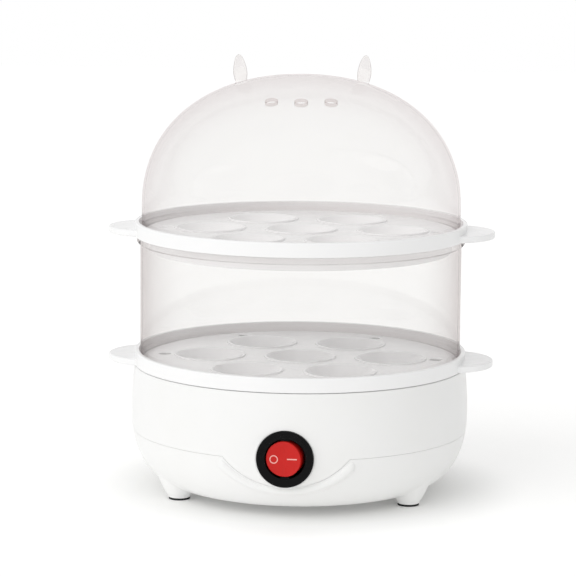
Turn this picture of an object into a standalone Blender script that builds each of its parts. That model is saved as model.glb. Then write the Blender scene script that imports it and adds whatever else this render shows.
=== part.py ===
"""Two-tier countertop egg boiler, as an assembly of separate solids.

Metres, +Z up. The origin is on the table under the middle of the base, and the switch faces -Y.
"""
import math

import bmesh
import bpy
from mathutils import Matrix, Vector

# Clearances and working values shared by every piece
TOUCH_GAP = 0.0003
CUT_OVERRUN = 0.0060
WELD_DISTANCE = 0.000001
SHARP_ANGLE = math.radians(35)
ROUND_STEPS = 32
SMALL_STEPS = 10
SMALL_TURN = math.radians(5)
CORNER_STEPS = 1

# Base housing: outer form
BAND_RADIUS = 0.0840
BELLY_PROUD = 0.0015
BOWL_SWEEP = 0.0235
FLOOR_HEIGHT = 0.0046
BELT_HEIGHT = 0.0322
BELLY_RISE = 0.0108
RIM_RISE = 0.0216
BOWL_DROP_POWER = 2.6
BOWL_ROUND_POWER = 1.8
BOWL_STEPS = 5
WALL_STEPS = 2
EDGE_ROUND = 0.0006

# Base housing: walls, deck and the lip that joins the two halves
SHELL_WALL = 0.0022
RIM_WALL = 0.0021
DECK_WALL = 0.0020
DECK_CLEARANCE = 0.0007
LEDGE_DROP = 0.0040
CHIN_SPARE = 0.0011
LIP_WALL = 0.0012
LIP_HEIGHT = 0.0030
LIP_ROOT = 0.0040
SEAM_SPLIT = 0.0350

# Smile: the circle that the joint line and its ridge follow under the switch
SMILE_RADIUS = 0.0418
SMILE_DROP = 0.0159
RIDGE_RADIUS = 0.0015
RIDGE_PROUD = 0.0010
RIDGE_RESOLUTION = 1
SMILE_STEPS = 13
CHIN_STEPS = 50

# Feet, pads and housing screws
FOOT_INSET = 0.0190
FOOT_ANGLES = (math.radians(-150), math.radians(-30), math.radians(90))
FOOT_TIP_RADIUS = 0.0058
FOOT_ROOT_RADIUS = 0.0122
FOOT_ROOT_HEIGHT = 0.0162
FOOT_BELL_POWER = 0.75
FOOT_TIP_ROUND = 0.0012
FOOT_STEPS = 4
FOOT_SIDES = 12
PAD_RADIUS = 0.0053
PAD_THICKNESS = 0.0008
PAD_STEM_LENGTH = 0.0040
SCREW_SHANK = 0.0015
SCREW_HEAD_RADIUS = 0.0027
SCREW_HEAD_HEIGHT = 0.0022
SCREW_LENGTH = 0.0140
SCREW_BOSS_RADIUS = 0.0045
SCREW_BOSS_TOP = 0.0140
SCREW_BOSS_ROOF = 0.0056
POST_RADIUS = 0.0040
PILOT_DEPTH = 0.0120

# Drain slots in the underside
SLOT_COUNT = 6
SLOT_INNER_RADIUS = 0.0140
SLOT_LENGTH = 0.0160
SLOT_WIDTH = 0.0024

# Heating plate with its weld studs, seal and nuts
DECK_WIDTH = 0.0116
PLATE_SHEET = 0.0008
FLANGE_WIDTH = 0.0094
DISH_DEPTH = 0.0088
DISH_TAPER = 0.0022
DISH_ROUND = 0.0020
DISH_SHOULDER = 0.0012
WELL_CLEARANCE = 0.0009
LEDGE_CLEARANCE = 0.0010
SEAL_WIDTH = 0.0030
SEAL_THICKNESS = 0.0014
STUD_RADIUS = 0.0015
STUD_LENGTH = 0.0088
STUD_ANGLES = (math.radians(0), math.radians(-120), math.radians(120))
NUT_RADIUS = 0.0031
NUT_HEIGHT = 0.0024
NUT_SIDES = 6

# Earth tag on the last stud
TAG_RADIUS = 0.0038
TAG_THICKNESS = 0.0008
TAG_TAIL_LENGTH = 0.0110
TAG_TAIL_WIDTH = 0.0040

# Heat spreader and tubular heating element
SPREADER_RADIUS = 0.0440
SPREADER_THICKNESS = 0.0030
ELEMENT_RADIUS = 0.0340
ELEMENT_TUBE = 0.0032
ELEMENT_END_ANGLE = math.radians(24)
ELEMENT_BEND = 0.0050
ELEMENT_LEG = 0.0070
ELEMENT_PIN = 0.0050
ELEMENT_PIN_STEP = 0.0003
ELEMENT_PIN_SHARE = 0.45
ELEMENT_STEPS = 16
ELEMENT_BEND_STEPS = 3
ELEMENT_RESOLUTION = 1

# Thermostat with its bracket and screws
THERMOSTAT_CAP_RADIUS = 0.0090
THERMOSTAT_CAP_HEIGHT = 0.0016
THERMOSTAT_BODY_RADIUS = 0.0078
THERMOSTAT_BODY_HEIGHT = 0.0090
THERMOSTAT_TAB_X = 0.0045
THERMOSTAT_TAB_WIDTH = 0.0048
THERMOSTAT_TAB_THICKNESS = 0.0008
THERMOSTAT_TAB_LENGTH = 0.0070
BRACKET_SHEET = 0.0006
BRACKET_HALF_LENGTH = 0.0165
BRACKET_WIDTH = 0.0080
BRACKET_RING_MARGIN = 0.0026
BRACKET_SCREW_X = 0.0130
BRACKET_SCREW_SHANK = 0.0012
BRACKET_SCREW_HEAD = 0.0024
BRACKET_SCREW_HEAD_HEIGHT = 0.0016
BRACKET_SCREW_REACH = 0.0020

# Thermal fuse and its clip
FUSE_RADIUS = 0.0020
FUSE_LENGTH = 0.0120
FUSE_X = 0.0235
FUSE_DROP = 0.0030
CLIP_SHEET = 0.0006
CLIP_WIDTH = 0.0050
CLIP_FOOT = 0.0025
CLIP_STEPS = 6

# Terminal block and its screws
BLOCK_X = -0.0270
BLOCK_Y = 0.0120
BLOCK_LENGTH = 0.0280
BLOCK_WIDTH = 0.0130
BLOCK_HEIGHT = 0.0120
BLOCK_WAYS = 3
BLOCK_PORT_RADIUS = 0.0019
BLOCK_PORT_DEPTH = 0.0060
BLOCK_PORT_SHARE = 0.50
BLOCK_WELL_SHARE = 0.42
BLOCK_SCREW_RADIUS = 0.0016
BLOCK_SCREW_HEIGHT = 0.0022
BLOCK_SCREW_SINK = 0.0010

# Leads inside the base
LEAD_RADIUS = 0.0012
FUSE_LEAD_RADIUS = 0.0008
LEAD_RESOLUTION = 1
LEAD_STEPS = 11
LEAD_ENTRY = 0.0025
LEAD_SHORT = 0.0090
LEAD_MIDDLE = 0.0140
LEAD_LONG = 0.0260

# Cord inlet at the back
INLET_RISE = 0.0098
INLET_BORE = 0.0034
INLET_NECK = 0.0047
INLET_FLANGE = 0.0068
INLET_FLANGE_THICKNESS = 0.0016
INLET_SNAP_RADIUS = 0.0059
INLET_SNAP_THICKNESS = 0.0014
INLET_COLLAR_RADIUS = 0.0050
INLET_COLLAR_LENGTH = 0.0016
INLET_EDGE = 0.0005

# Switch body, in its own frame: its height runs outwards from the rocker's pivot
SWITCH_RISE = 0.0007
SWITCH_SINK = 0.0010
SWITCH_STEPS = 20
BEZEL_RADIUS = 0.0139
BEZEL_THICKNESS = 0.0020
BEZEL_EDGE = 0.0008
BEZEL_DISH_WIDTH = 0.0014
BEZEL_DISH_DEPTH = 0.0008
OPENING_RADIUS = 0.01015
PIVOT_DEPTH = 0.0042
BARREL_RADIUS = 0.0123
BARREL_DEPTH = 0.0162
BARREL_FLOOR = 0.0015
BOSS_RADIUS = 0.0148
BOSS_PROUD = 0.0004
BOSS_DEPTH = 0.0050
WING_LENGTH = 0.0060
WING_PROUD = 0.0012
WING_WIDTH = 0.0060
WING_ROOT = 0.0006

# Rocker, plunger, spring and contact arm
ROCKER_RADIUS = 0.00875
ROCKER_SWING = math.radians(11)
ROCKER_TOP = 0.0034
ROCKER_SKIRT = 0.0040
PIN_RADIUS = 0.0015
PIN_SOCKET_DEPTH = 0.00135
PLUNGER_RADIUS = 0.0012
PLUNGER_REACH = 0.0090
PLUNGER_TOP = 0.0045
STEM_RADIUS = 0.0026
STEM_REACH = 0.0065
SPRING_WIRE = 0.0002
SPRING_RADIUS = 0.00085
SPRING_TURNS = 4
SPRING_POINTS_PER_TURN = 7
SPRING_RESOLUTION = 1
ARM_HALF_LENGTH = 0.0065
ARM_WIDTH = 0.0036
ARM_THICKNESS = 0.0005
ARM_SWING = math.radians(8)
ARM_TIP_GAP = 0.00025
TERMINAL_X = -0.0055
TERMINAL_WIDTH = 0.0063
TERMINAL_THICKNESS = 0.0008
TERMINAL_TAIL = 0.0100

# Egg trays
BAND_HEIGHT = 0.0073
TIER_PITCH = 0.0654
TRAY_RIM_WALL = 0.0021
CHANNEL_FLOOR = 0.0017
CHANNEL_WIDTH = 0.0043
PLATEAU_RISE = 0.0029
PLATEAU_WALL = 0.0018
PLATEAU_EDGE = 0.0006
SKIRT_INSET = 0.0016
SKIRT_WALL = 0.0016
SKIRT_DROP = 0.0074
TAB_REACH = 0.0140
TAB_RADIUS = 0.0246
TAB_THICKNESS = 0.0034
TAB_LIFT = 0.0003
TAB_ROUND = 0.0008
TAB_STEPS = 12
TAB_ROOT_STEPS = 3
TAB_ROUND_STEPS = 1
SEAT_COUNT = 6
SEAT_LAND = 0.0132
SEAT_WEB = 0.0092
SEAT_FUNNEL = 0.0070
SEAT_DEPTH = 0.0060
SEAT_WALL = 0.0018
SEAT_ROOT = 0.0004
SEAT_BEAD_WIDTH = 0.0014
SEAT_BEAD_HEIGHT = 0.0007
SEAT_STEPS = 12
STEAM_HOLE_RADIUS = 0.0032
STEAM_HOLE_INSET = 0.0088
STEAM_HOLE_STEPS = 6

# Clear ring
RING_FLARE_PROUD = 0.0004
CLEAR_WALL = 0.0016
FOOT_FLARE_HEIGHT = 0.0016
FOOT_FLARE_BLEND = 0.0014
RING_LIP_PROUD = 0.0017
RING_LIP_HEIGHT = 0.0026
RING_LIP_BLEND = 0.0010

# Domed lid with its ears and vents
DOME_FLARE_PROUD = 0.0011
DOME_SPRING_RISE = 0.0125
DOME_RISE = 0.0667
DOME_POWER = 2.2
DOME_STEPS = 6
LID_TURN = math.radians(4)
EAR_X = 0.0317
EAR_FORWARD = 0.0080
EAR_HEIGHT = 0.0150
EAR_RADIUS = 0.0034
EAR_FLARE = 0.0005
EAR_FLARE_HEIGHT = 0.0012
EAR_ROOT = 0.0026
EAR_WALL = 0.0011
EAR_POWER = 2.4
EAR_LEAN = math.radians(3)
EAR_STEPS = 5
EAR_SIDES = 10
VENT_RADIUS = 0.0033
VENT_CIRCLE = 0.0457
VENT_ANGLES = (math.radians(-18.5), 0.0, math.radians(18.5))
VENT_STEPS = 10

# Looks: colour, roughness, metallic and alpha
WHITE_PLASTIC = ((0.80, 0.79, 0.77), 0.30, 0.0, 1.0)
CLEAR_PLASTIC = ((0.84, 0.84, 0.85), 0.08, 0.0, 0.35)
BLACK_PLASTIC = ((0.012, 0.012, 0.013), 0.20, 0.0, 1.0)
RED_PLASTIC = ((0.54, 0.022, 0.018), 0.25, 0.0, 1.0)
PALE_PLASTIC = ((0.70, 0.68, 0.62), 0.45, 0.0, 1.0)
DARK_RUBBER = ((0.030, 0.030, 0.031), 0.75, 0.0, 1.0)
SILICONE = ((0.55, 0.52, 0.48), 0.60, 0.0, 1.0)
STAINLESS = ((0.60, 0.60, 0.59), 0.25, 1.0, 1.0)
ALUMINIUM = ((0.78, 0.78, 0.79), 0.40, 1.0, 1.0)
ZINC_STEEL = ((0.55, 0.56, 0.57), 0.35, 1.0, 1.0)
BRASS = ((0.72, 0.52, 0.22), 0.30, 1.0, 1.0)
BLACK_PHENOLIC = ((0.020, 0.018, 0.017), 0.50, 0.0, 1.0)
GLASS_SLEEVE = ((0.78, 0.74, 0.64), 0.70, 0.0, 1.0)
BROWN_SLEEVE = ((0.16, 0.065, 0.030), 0.50, 0.0, 1.0)
BLUE_SLEEVE = ((0.030, 0.10, 0.42), 0.50, 0.0, 1.0)
GREEN_SLEEVE = ((0.060, 0.32, 0.070), 0.50, 0.0, 1.0)


# Sizes that follow from the values above: the base's outer form
BELLY_RADIUS = BAND_RADIUS + BELLY_PROUD
FLOOR_RADIUS = BELLY_RADIUS - BOWL_SWEEP
FOOT_CIRCLE = BELLY_RADIUS - FOOT_INSET
BELLY_HEIGHT = BELT_HEIGHT + BELLY_RISE
RIM_HEIGHT = BELLY_HEIGHT + RIM_RISE
INLET_HEIGHT = BELT_HEIGHT + INLET_RISE
SWITCH_HEIGHT = BELT_HEIGHT + SWITCH_RISE
SWITCH_SEAT = BELLY_RADIUS - SWITCH_SINK
SMILE_LOW = BELT_HEIGHT - SMILE_DROP
CHIN_LOW = SMILE_LOW - CHIN_SPARE
CHANNEL_OUTER = BAND_RADIUS - TRAY_RIM_WALL
FLARE_RADIUS = CHANNEL_OUTER - TOUCH_GAP
RING_RADIUS = FLARE_RADIUS - RING_FLARE_PROUD
DOME_RADIUS = FLARE_RADIUS - DOME_FLARE_PROUD
TAB_TIP = BAND_RADIUS + TAB_REACH


def bowl_radius(height, inset=0.0):
    """Return the outer radius of the bowl at a height, or that of a surface set in from it."""
    drop = (BELLY_HEIGHT - height) / (BELLY_HEIGHT - FLOOR_HEIGHT - inset)
    share = (1.0 - min(max(drop, 0.0), 1.0) ** BOWL_DROP_POWER) ** (1.0 / BOWL_ROUND_POWER)
    return FLOOR_RADIUS - inset + (BELLY_RADIUS - FLOOR_RADIUS) * share


def wall_radius(height, inset=0.0):
    """Return the radius of the base's wall at any height up to the rim, less an inset."""
    if height <= BELLY_HEIGHT:
        return bowl_radius(height, inset)
    rise = (height - BELLY_HEIGHT) / (RIM_HEIGHT - BELLY_HEIGHT)
    return BELLY_RADIUS - (BELLY_RADIUS - BAND_RADIUS) * rise ** 2 - inset


def dome_height(radius, inset=0.0):
    """Return how high the dome's surface stands above its spring line at a radius."""
    share = min(radius / (DOME_RADIUS - inset), 1.0)
    return (DOME_RISE - inset) * (1.0 - share ** DOME_POWER) ** (1.0 / DOME_POWER)


# Sizes that follow from the values above: what the base carries
LOWER_TRAY_BASE = RIM_HEIGHT + TOUCH_GAP
UPPER_TRAY_BASE = LOWER_TRAY_BASE + TIER_PITCH
DECK_TOP = LOWER_TRAY_BASE - SKIRT_DROP - DECK_CLEARANCE
LEDGE_TOP = DECK_TOP - LEDGE_DROP
LEDGE_BOTTOM = LEDGE_TOP - DECK_WALL
WELL_RADIUS = BAND_RADIUS - RIM_WALL - DECK_WIDTH
PLATE_RADIUS = WELL_RADIUS - WELL_CLEARANCE
DISH_RADIUS = PLATE_RADIUS - FLANGE_WIDTH
LEDGE_RADIUS = DISH_RADIUS + LEDGE_CLEARANCE
SEAL_BOTTOM = LEDGE_TOP + TOUCH_GAP
FLANGE_BOTTOM = SEAL_BOTTOM + SEAL_THICKNESS + TOUCH_GAP
FLANGE_TOP = FLANGE_BOTTOM + PLATE_SHEET
DISH_FLOOR = FLANGE_TOP - DISH_DEPTH
STUD_CIRCLE = (LEDGE_RADIUS + PLATE_RADIUS - SEAL_WIDTH) / 2
STUD_HOLE = STUD_RADIUS + TOUCH_GAP
NUT_TOP = LEDGE_BOTTOM - TOUCH_GAP
TAG_TOP = LEDGE_BOTTOM - TOUCH_GAP
SPREADER_TOP = DISH_FLOOR - PLATE_SHEET - TOUCH_GAP
SPREADER_BOTTOM = SPREADER_TOP - SPREADER_THICKNESS
ELEMENT_CENTRE = SPREADER_BOTTOM - TOUCH_GAP - ELEMENT_TUBE
ELEMENT_END = ELEMENT_CENTRE - ELEMENT_BEND - ELEMENT_LEG - ELEMENT_PIN_STEP - ELEMENT_PIN
CAP_TOP = SPREADER_BOTTOM - TOUCH_GAP
CAP_BOTTOM = CAP_TOP - THERMOSTAT_CAP_HEIGHT
THERMOSTAT_BOTTOM = CAP_BOTTOM - THERMOSTAT_BODY_HEIGHT
THERMOSTAT_TAB_END = THERMOSTAT_BOTTOM - THERMOSTAT_TAB_LENGTH
BRACKET_TOP = CAP_BOTTOM - TOUCH_GAP
BRACKET_BOTTOM = BRACKET_TOP - BRACKET_SHEET
FUSE_HEIGHT = SPREADER_BOTTOM - FUSE_DROP
FOOT_BOTTOM = PAD_THICKNESS + TOUCH_GAP
SCREW_SEAT = SCREW_BOSS_TOP - SCREW_BOSS_ROOF
SCREW_HOLE = SCREW_SHANK + TOUCH_GAP
COUNTERBORE = SCREW_HEAD_RADIUS + TOUCH_GAP
POST_BOTTOM = SCREW_BOSS_TOP + TOUCH_GAP
INNER_FLOOR = FLOOR_HEIGHT + SHELL_WALL
BLOCK_BOTTOM = INNER_FLOOR + TOUCH_GAP
BLOCK_TOP = BLOCK_BOTTOM + BLOCK_HEIGHT
PORT_HEIGHT = BLOCK_BOTTOM + BLOCK_HEIGHT * BLOCK_PORT_SHARE
SMILE_CENTRE = SMILE_LOW + SMILE_RADIUS
SEAM_RADIUS = SMILE_RADIUS - RIDGE_RADIUS
LOWER_TOP = BELT_HEIGHT - TOUCH_GAP / 2
UPPER_BOTTOM = BELT_HEIGHT + TOUCH_GAP / 2
LIP_TOP = BELT_HEIGHT + LIP_HEIGHT
LIP_OUTER = bowl_radius(BELT_HEIGHT, SHELL_WALL) - TOUCH_GAP
LIP_INNER = LIP_OUTER - LIP_WALL
SWITCH_PIVOT = SWITCH_SEAT + BEZEL_THICKNESS - PIVOT_DEPTH
BEZEL_BACK = PIVOT_DEPTH - BEZEL_THICKNESS
BARREL_BACK = BEZEL_BACK - BARREL_DEPTH
BARREL_INSIDE = BARREL_BACK + BARREL_FLOOR
BOSS_BACK = BEZEL_BACK + BOSS_PROUD - BOSS_DEPTH
PIN_REACH = OPENING_RADIUS + PIN_SOCKET_DEPTH - TOUCH_GAP
PLUNGER_BORE = PLUNGER_RADIUS + TOUCH_GAP
ARM_PIVOT = PLUNGER_REACH + ARM_TIP_GAP + ARM_THICKNESS
TERMINAL_TOP = -ARM_PIVOT - TOUCH_GAP
TERMINAL_END = BARREL_BACK - TERMINAL_TAIL
CHANNEL_INNER = CHANNEL_OUTER - CHANNEL_WIDTH
SEAT_CIRCLE = (CHANNEL_INNER - SEAT_LAND + SEAT_WEB / 2) / 1.5
SEAT_MOUTH = (SEAT_CIRCLE - SEAT_WEB) / 2 - SEAT_BEAD_WIDTH
SEAT_THROAT = SEAT_MOUTH - SEAT_FUNNEL
STEAM_HOLE_CIRCLE = CHANNEL_INNER - STEAM_HOLE_INSET
SKIRT_RADIUS = CHANNEL_INNER - SKIRT_INSET
RING_BOTTOM = LOWER_TRAY_BASE + CHANNEL_FLOOR + TOUCH_GAP
RING_TOP = UPPER_TRAY_BASE - TOUCH_GAP
LID_BOTTOM = UPPER_TRAY_BASE + CHANNEL_FLOOR + TOUCH_GAP
LID_SPRING = LID_BOTTOM + DOME_SPRING_RISE
INLET_OUTER_SEAT = wall_radius(INLET_HEIGHT) + TOUCH_GAP
INLET_INNER_SEAT = math.sqrt(wall_radius(INLET_HEIGHT, SHELL_WALL) ** 2 - INLET_SNAP_RADIUS ** 2) - TOUCH_GAP * 2


# Scene and mesh helpers
def clear_scene():
    """Remove every object from the scene."""
    for obj in list(bpy.data.objects):
        bpy.data.objects.remove(obj, do_unlink=True)


def make_material(name, look):
    """Return a Principled material for one piece."""
    colour, roughness, metallic, alpha = look
    material = bpy.data.materials.new(name)
    material.use_nodes = True
    shader = material.node_tree.nodes["Principled BSDF"]
    shader.inputs["Base Color"].default_value = (*colour, 1.0)
    shader.inputs["Roughness"].default_value = roughness
    shader.inputs["Metallic"].default_value = metallic
    shader.inputs["Alpha"].default_value = alpha
    material.diffuse_color = (*colour, alpha)
    return material


def link_mesh(name, bm, matrix=None):
    """Turn a bmesh into a linked, smooth-shaded object whose faces point outwards."""
    bmesh.ops.recalc_face_normals(bm, faces=bm.faces)
    mesh = bpy.data.meshes.new(name)
    bm.to_mesh(mesh)
    bm.free()
    mesh.shade_smooth()
    mesh.set_sharp_from_angle(angle=SHARP_ANGLE)
    obj = bpy.data.objects.new(name, mesh)
    bpy.context.scene.collection.objects.link(obj)
    if matrix:
        obj.matrix_world = matrix
    return obj


def make_piece(name, bm, look, matrix=None):
    """Return a named piece with a material of its own."""
    obj = link_mesh(name, bm, matrix)
    obj.data.materials.append(make_material(name, look))
    return obj


def make_copies(name, bm, look, places):
    """Return one numbered piece for each place, all sharing one mesh."""
    first = make_piece(f"{name}_1", bm, look, places[0])
    copies = [first]
    for index, place in enumerate(places[1:], 2):
        copy = bpy.data.objects.new(f"{name}_{index}", first.data)
        bpy.context.scene.collection.objects.link(copy)
        copy.matrix_world = place
        copies.append(copy)
    return copies


def boolean(target, operation, name, bm):
    """Join a shape to the target, or cut it out, with an exact Boolean modifier."""
    tool = link_mesh(f"{target.name} {name}", bm, target.matrix_world.copy())
    tool.hide_render = True
    tool.display_type = "WIRE"
    modifier = target.modifiers.new(name, "BOOLEAN")
    modifier.operation = operation
    modifier.object = tool
    modifier.solver = "EXACT"


def gather(pieces):
    """Return one bmesh that holds several shapes, each moved by its own matrix."""
    whole = bmesh.new()
    for piece, matrix in pieces:
        piece.transform(matrix)
        carrier = bpy.data.meshes.new("carrier")
        piece.to_mesh(carrier)
        piece.free()
        whole.from_mesh(carrier)
        bpy.data.meshes.remove(carrier)
    return whole


def at(x=0.0, y=0.0, z=0.0):
    """Return a matrix that moves a shape."""
    return Matrix.Translation(Vector((x, y, z)))


def polar(radius, angle, z=0.0):
    """Return a matrix that moves a shape out along an angle without turning it."""
    return at(radius * math.cos(angle), radius * math.sin(angle), z)


def facing_front():
    """Return a matrix that stands a shape up, so that its height runs towards the front."""
    return Matrix.Rotation(math.radians(90), 4, "X")


def switch_place():
    """Return the matrix that carries the switch's own frame to its place in the front wall."""
    return at(0.0, -SWITCH_PIVOT, SWITCH_HEIGHT) @ facing_front()


def filleted(corners):
    """Return a profile whose corners, given as (radius, height, rounding), are rounded."""
    points = []
    for index, (radius, height, rounding) in enumerate(corners):
        here = Vector((radius, height))
        if not rounding:
            points.append(here)
            continue
        back = (Vector(corners[index - 1][:2]) - here).normalized()
        ahead = (Vector(corners[(index + 1) % len(corners)][:2]) - here).normalized()
        half = back.angle(ahead) / 2
        sweep = math.pi - half * 2
        centre = here + (back + ahead).normalized() * rounding / math.sin(half)
        start = here + back * rounding / math.tan(half) - centre
        end = here + ahead * rounding / math.tan(half) - centre
        for step in range(CORNER_STEPS + 1):
            share = step / CORNER_STEPS
            turn = start * math.sin(sweep * (1 - share)) + end * math.sin(sweep * share)
            points.append(centre + turn / math.sin(sweep))
    return [tuple(point) for point in points]


def turned(profile, steps=ROUND_STEPS, ring=False):
    """Spin a profile of (radius, height) points about the vertical axis.

    A ring's profile is closed. Any other profile starts and ends on the axis, and where an end
    is flat it becomes one whole face. The steps of the smaller shapes are turned a little, so
    that their corners stay off the edges and the middle planes of the large ones.
    """
    bm = bmesh.new()
    start = 0.0 if steps == ROUND_STEPS else SMALL_TURN
    verts = [bm.verts.new((radius * math.cos(start), radius * math.sin(start), height))
             for radius, height in profile]
    edges = [bm.edges.new(pair) for pair in zip(verts, verts[1:])]
    if ring:
        edges.append(bm.edges.new((verts[-1], verts[0])))
    bmesh.ops.spin(bm, geom=verts + edges, cent=(0.0, 0.0, 0.0), axis=(0.0, 0.0, 1.0),
                   angle=math.tau, steps=steps, use_merge=True)
    bmesh.ops.remove_doubles(bm, verts=bm.verts, dist=WELD_DISTANCE)
    flat = []
    for vert in bm.verts:
        on_axis = math.hypot(vert.co.x, vert.co.y) < WELD_DISTANCE
        if on_axis and all(abs(edge.other_vert(vert).co.z - vert.co.z) < WELD_DISTANCE for edge in vert.link_edges):
            flat.append(vert)
    bmesh.ops.dissolve_verts(bm, verts=flat)
    return bm


def rod(radius, low, high, steps=SMALL_STEPS):
    """Return an upright cylinder between two heights."""
    return turned([(0.0, low), (radius, low), (radius, high), (0.0, high)], steps)


def washer(bore, radius, low, high, steps=SMALL_STEPS):
    """Return an upright ring of square section between two heights."""
    return turned([(bore, low), (radius, low), (radius, high), (bore, high)], steps, ring=True)


def extruded(outline, low, high):
    """Extrude an outline of (x, y) points from one height to another."""
    bm = bmesh.new()
    face = bm.faces.new([bm.verts.new((x, y, low)) for x, y in outline])
    moved = bmesh.ops.extrude_face_region(bm, geom=[face])
    top = [item for item in moved["geom"] if isinstance(item, bmesh.types.BMVert)]
    bmesh.ops.translate(bm, verts=top, vec=(0.0, 0.0, high - low))
    return bm


def block(x_size, y_size, low, high):
    """Return a box centred on the vertical axis between two heights."""
    half_x = x_size / 2
    half_y = y_size / 2
    outline = [(-half_x, -half_y), (half_x, -half_y), (half_x, half_y), (-half_x, half_y)]
    return extruded(outline, low, high)


def lofted(loops):
    """Return a solid through loops of equally many points, closed at both ends."""
    bm = bmesh.new()
    rows = [[bm.verts.new(point) for point in loop] for loop in loops]
    for low, high in zip(rows, rows[1:]):
        for index in range(len(low)):
            bm.faces.new((low[index - 1], low[index], high[index], high[index - 1]))
    bm.faces.new(rows[0])
    bm.faces.new(list(reversed(rows[-1])))
    return bm


def tube(points, radius, resolution, shares=None):
    """Sweep a circle along points, with an optional share of the radius at each point."""
    curve = bpy.data.curves.new("route", "CURVE")
    curve.dimensions = "3D"
    curve.bevel_depth = radius
    curve.bevel_resolution = resolution
    curve.use_fill_caps = True
    spline = curve.splines.new("POLY")
    spline.points.add(len(points) - 1)
    for index, point in enumerate(points):
        spline.points[index].co = (*point, 1.0)
        if shares:
            spline.points[index].radius = shares[index]
    carrier = bpy.data.objects.new("route", curve)
    mesh = bpy.data.meshes.new_from_object(carrier)
    bm = bmesh.new()
    bm.from_mesh(mesh)
    bmesh.ops.remove_doubles(bm, verts=bm.verts, dist=WELD_DISTANCE)
    bpy.data.objects.remove(carrier)
    bpy.data.meshes.remove(mesh)
    bpy.data.curves.remove(curve)
    return bm


def arc(radius, start, end, steps, centre=(0.0, 0.0)):
    """Return points along a circle from one angle to another."""
    points = []
    for index in range(steps + 1):
        angle = start + (end - start) * index / steps
        points.append((centre[0] + radius * math.cos(angle), centre[1] + radius * math.sin(angle)))
    return points


# Base housing
def bowl_profile(low, high, inset=0.0):
    """Return points up the bowl's surface between two heights, closest together near the floor."""
    points = []
    for index in range(BOWL_STEPS + 1):
        share = 1.0 - math.cos(index / BOWL_STEPS * math.pi / 2)
        height = low + (high - low) * share
        points.append((bowl_radius(height, inset), height))
    return points


def wall_profile(low, high, inset=0.0):
    """Return points up the upper wall between two heights."""
    heights = [low + (high - low) * index / WALL_STEPS for index in range(WALL_STEPS + 1)]
    return [(wall_radius(height, inset), height) for height in heights]


def build_upper_housing():
    """Build the upper wall with its rim, deck, ledge, screw posts, and the chin round the switch."""
    low = CHIN_LOW
    outside = bowl_profile(low, BELLY_HEIGHT) + wall_profile(BELLY_HEIGHT, RIM_HEIGHT - EDGE_ROUND)[1:]
    deck = filleted([
        (BAND_RADIUS, RIM_HEIGHT, EDGE_ROUND / 2),
        (BAND_RADIUS - RIM_WALL, RIM_HEIGHT, 0.0),
        (BAND_RADIUS - RIM_WALL, DECK_TOP, 0.0),
        (WELL_RADIUS, DECK_TOP, 0.0),
        (WELL_RADIUS, LEDGE_TOP, 0.0),
        (LEDGE_RADIUS, LEDGE_TOP, 0.0),
        (LEDGE_RADIUS, LEDGE_BOTTOM, 0.0),
        (WELL_RADIUS + DECK_WALL, LEDGE_BOTTOM, 0.0),
        (WELL_RADIUS + DECK_WALL, DECK_TOP - DECK_WALL, 0.0),
        (BAND_RADIUS - RIM_WALL, DECK_TOP - DECK_WALL, 0.0),
    ])[1:]
    roof = DECK_TOP - DECK_WALL
    deck[-1] = (wall_radius(roof, SHELL_WALL), roof)
    inside = bowl_profile(low, BELLY_HEIGHT, SHELL_WALL)[::-1]
    housing = make_piece("upper_housing", turned(outside + deck + inside, ring=True), WHITE_PLASTIC)

    boss = turned([(0.0, BOSS_BACK), (BOSS_RADIUS, BOSS_BACK), (BOSS_RADIUS, BEZEL_BACK + BOSS_PROUD),
                   (0.0, BEZEL_BACK + BOSS_PROUD)], SWITCH_STEPS)
    boolean(housing, "UNION", "switch boss", gather([(boss, switch_place())]))

    reach = BELLY_RADIUS + CUT_OVERRUN
    cutter = link_mesh("upper_housing below the seam", rod(reach, -CUT_OVERRUN, UPPER_BOTTOM, ROUND_STEPS))
    cutter.hide_render = True
    cutter.display_type = "WIRE"
    chin = rod(SEAM_RADIUS - TOUCH_GAP / 2, SEAM_SPLIT, reach + CUT_OVERRUN, CHIN_STEPS)
    boolean(cutter, "DIFFERENCE", "chin left uncut", gather([(chin, at(0.0, 0.0, SMILE_CENTRE) @ facing_front())]))
    modifier = housing.modifiers.new("seam", "BOOLEAN")
    modifier.operation = "DIFFERENCE"
    modifier.object = cutter
    modifier.solver = "EXACT"

    posts = []
    for angle in FOOT_ANGLES:
        post = rod(POST_RADIUS, POST_BOTTOM, LEDGE_BOTTOM + DECK_WALL / 2)
        posts.append((post, polar(FOOT_CIRCLE, angle)))
    boolean(housing, "UNION", "screw posts", gather(posts))

    hole = BARREL_RADIUS + TOUCH_GAP
    recess = BEZEL_RADIUS + TOUCH_GAP
    deep = BOSS_BACK - CUT_OVERRUN
    stepped = turned([(0.0, deep), (hole, deep), (hole, BEZEL_BACK), (recess, BEZEL_BACK),
                      (recess, BEZEL_BACK + CUT_OVERRUN), (0.0, BEZEL_BACK + CUT_OVERRUN)], SWITCH_STEPS)
    inlet = rod(INLET_NECK + TOUCH_GAP, -CUT_OVERRUN, CUT_OVERRUN)
    cuts = [(stepped, switch_place()), (inlet, at(0.0, BELLY_RADIUS, INLET_HEIGHT) @ facing_front())]
    for angle in STUD_ANGLES:
        stud = rod(STUD_HOLE, LEDGE_BOTTOM - CUT_OVERRUN, LEDGE_TOP + CUT_OVERRUN)
        cuts.append((stud, polar(STUD_CIRCLE, angle)))
    for angle in FOOT_ANGLES:
        pilot = rod(SCREW_HOLE, POST_BOTTOM - CUT_OVERRUN, POST_BOTTOM + PILOT_DEPTH)
        cuts.append((pilot, polar(FOOT_CIRCLE, angle)))
    boolean(housing, "DIFFERENCE", "holes", gather(cuts))


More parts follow.
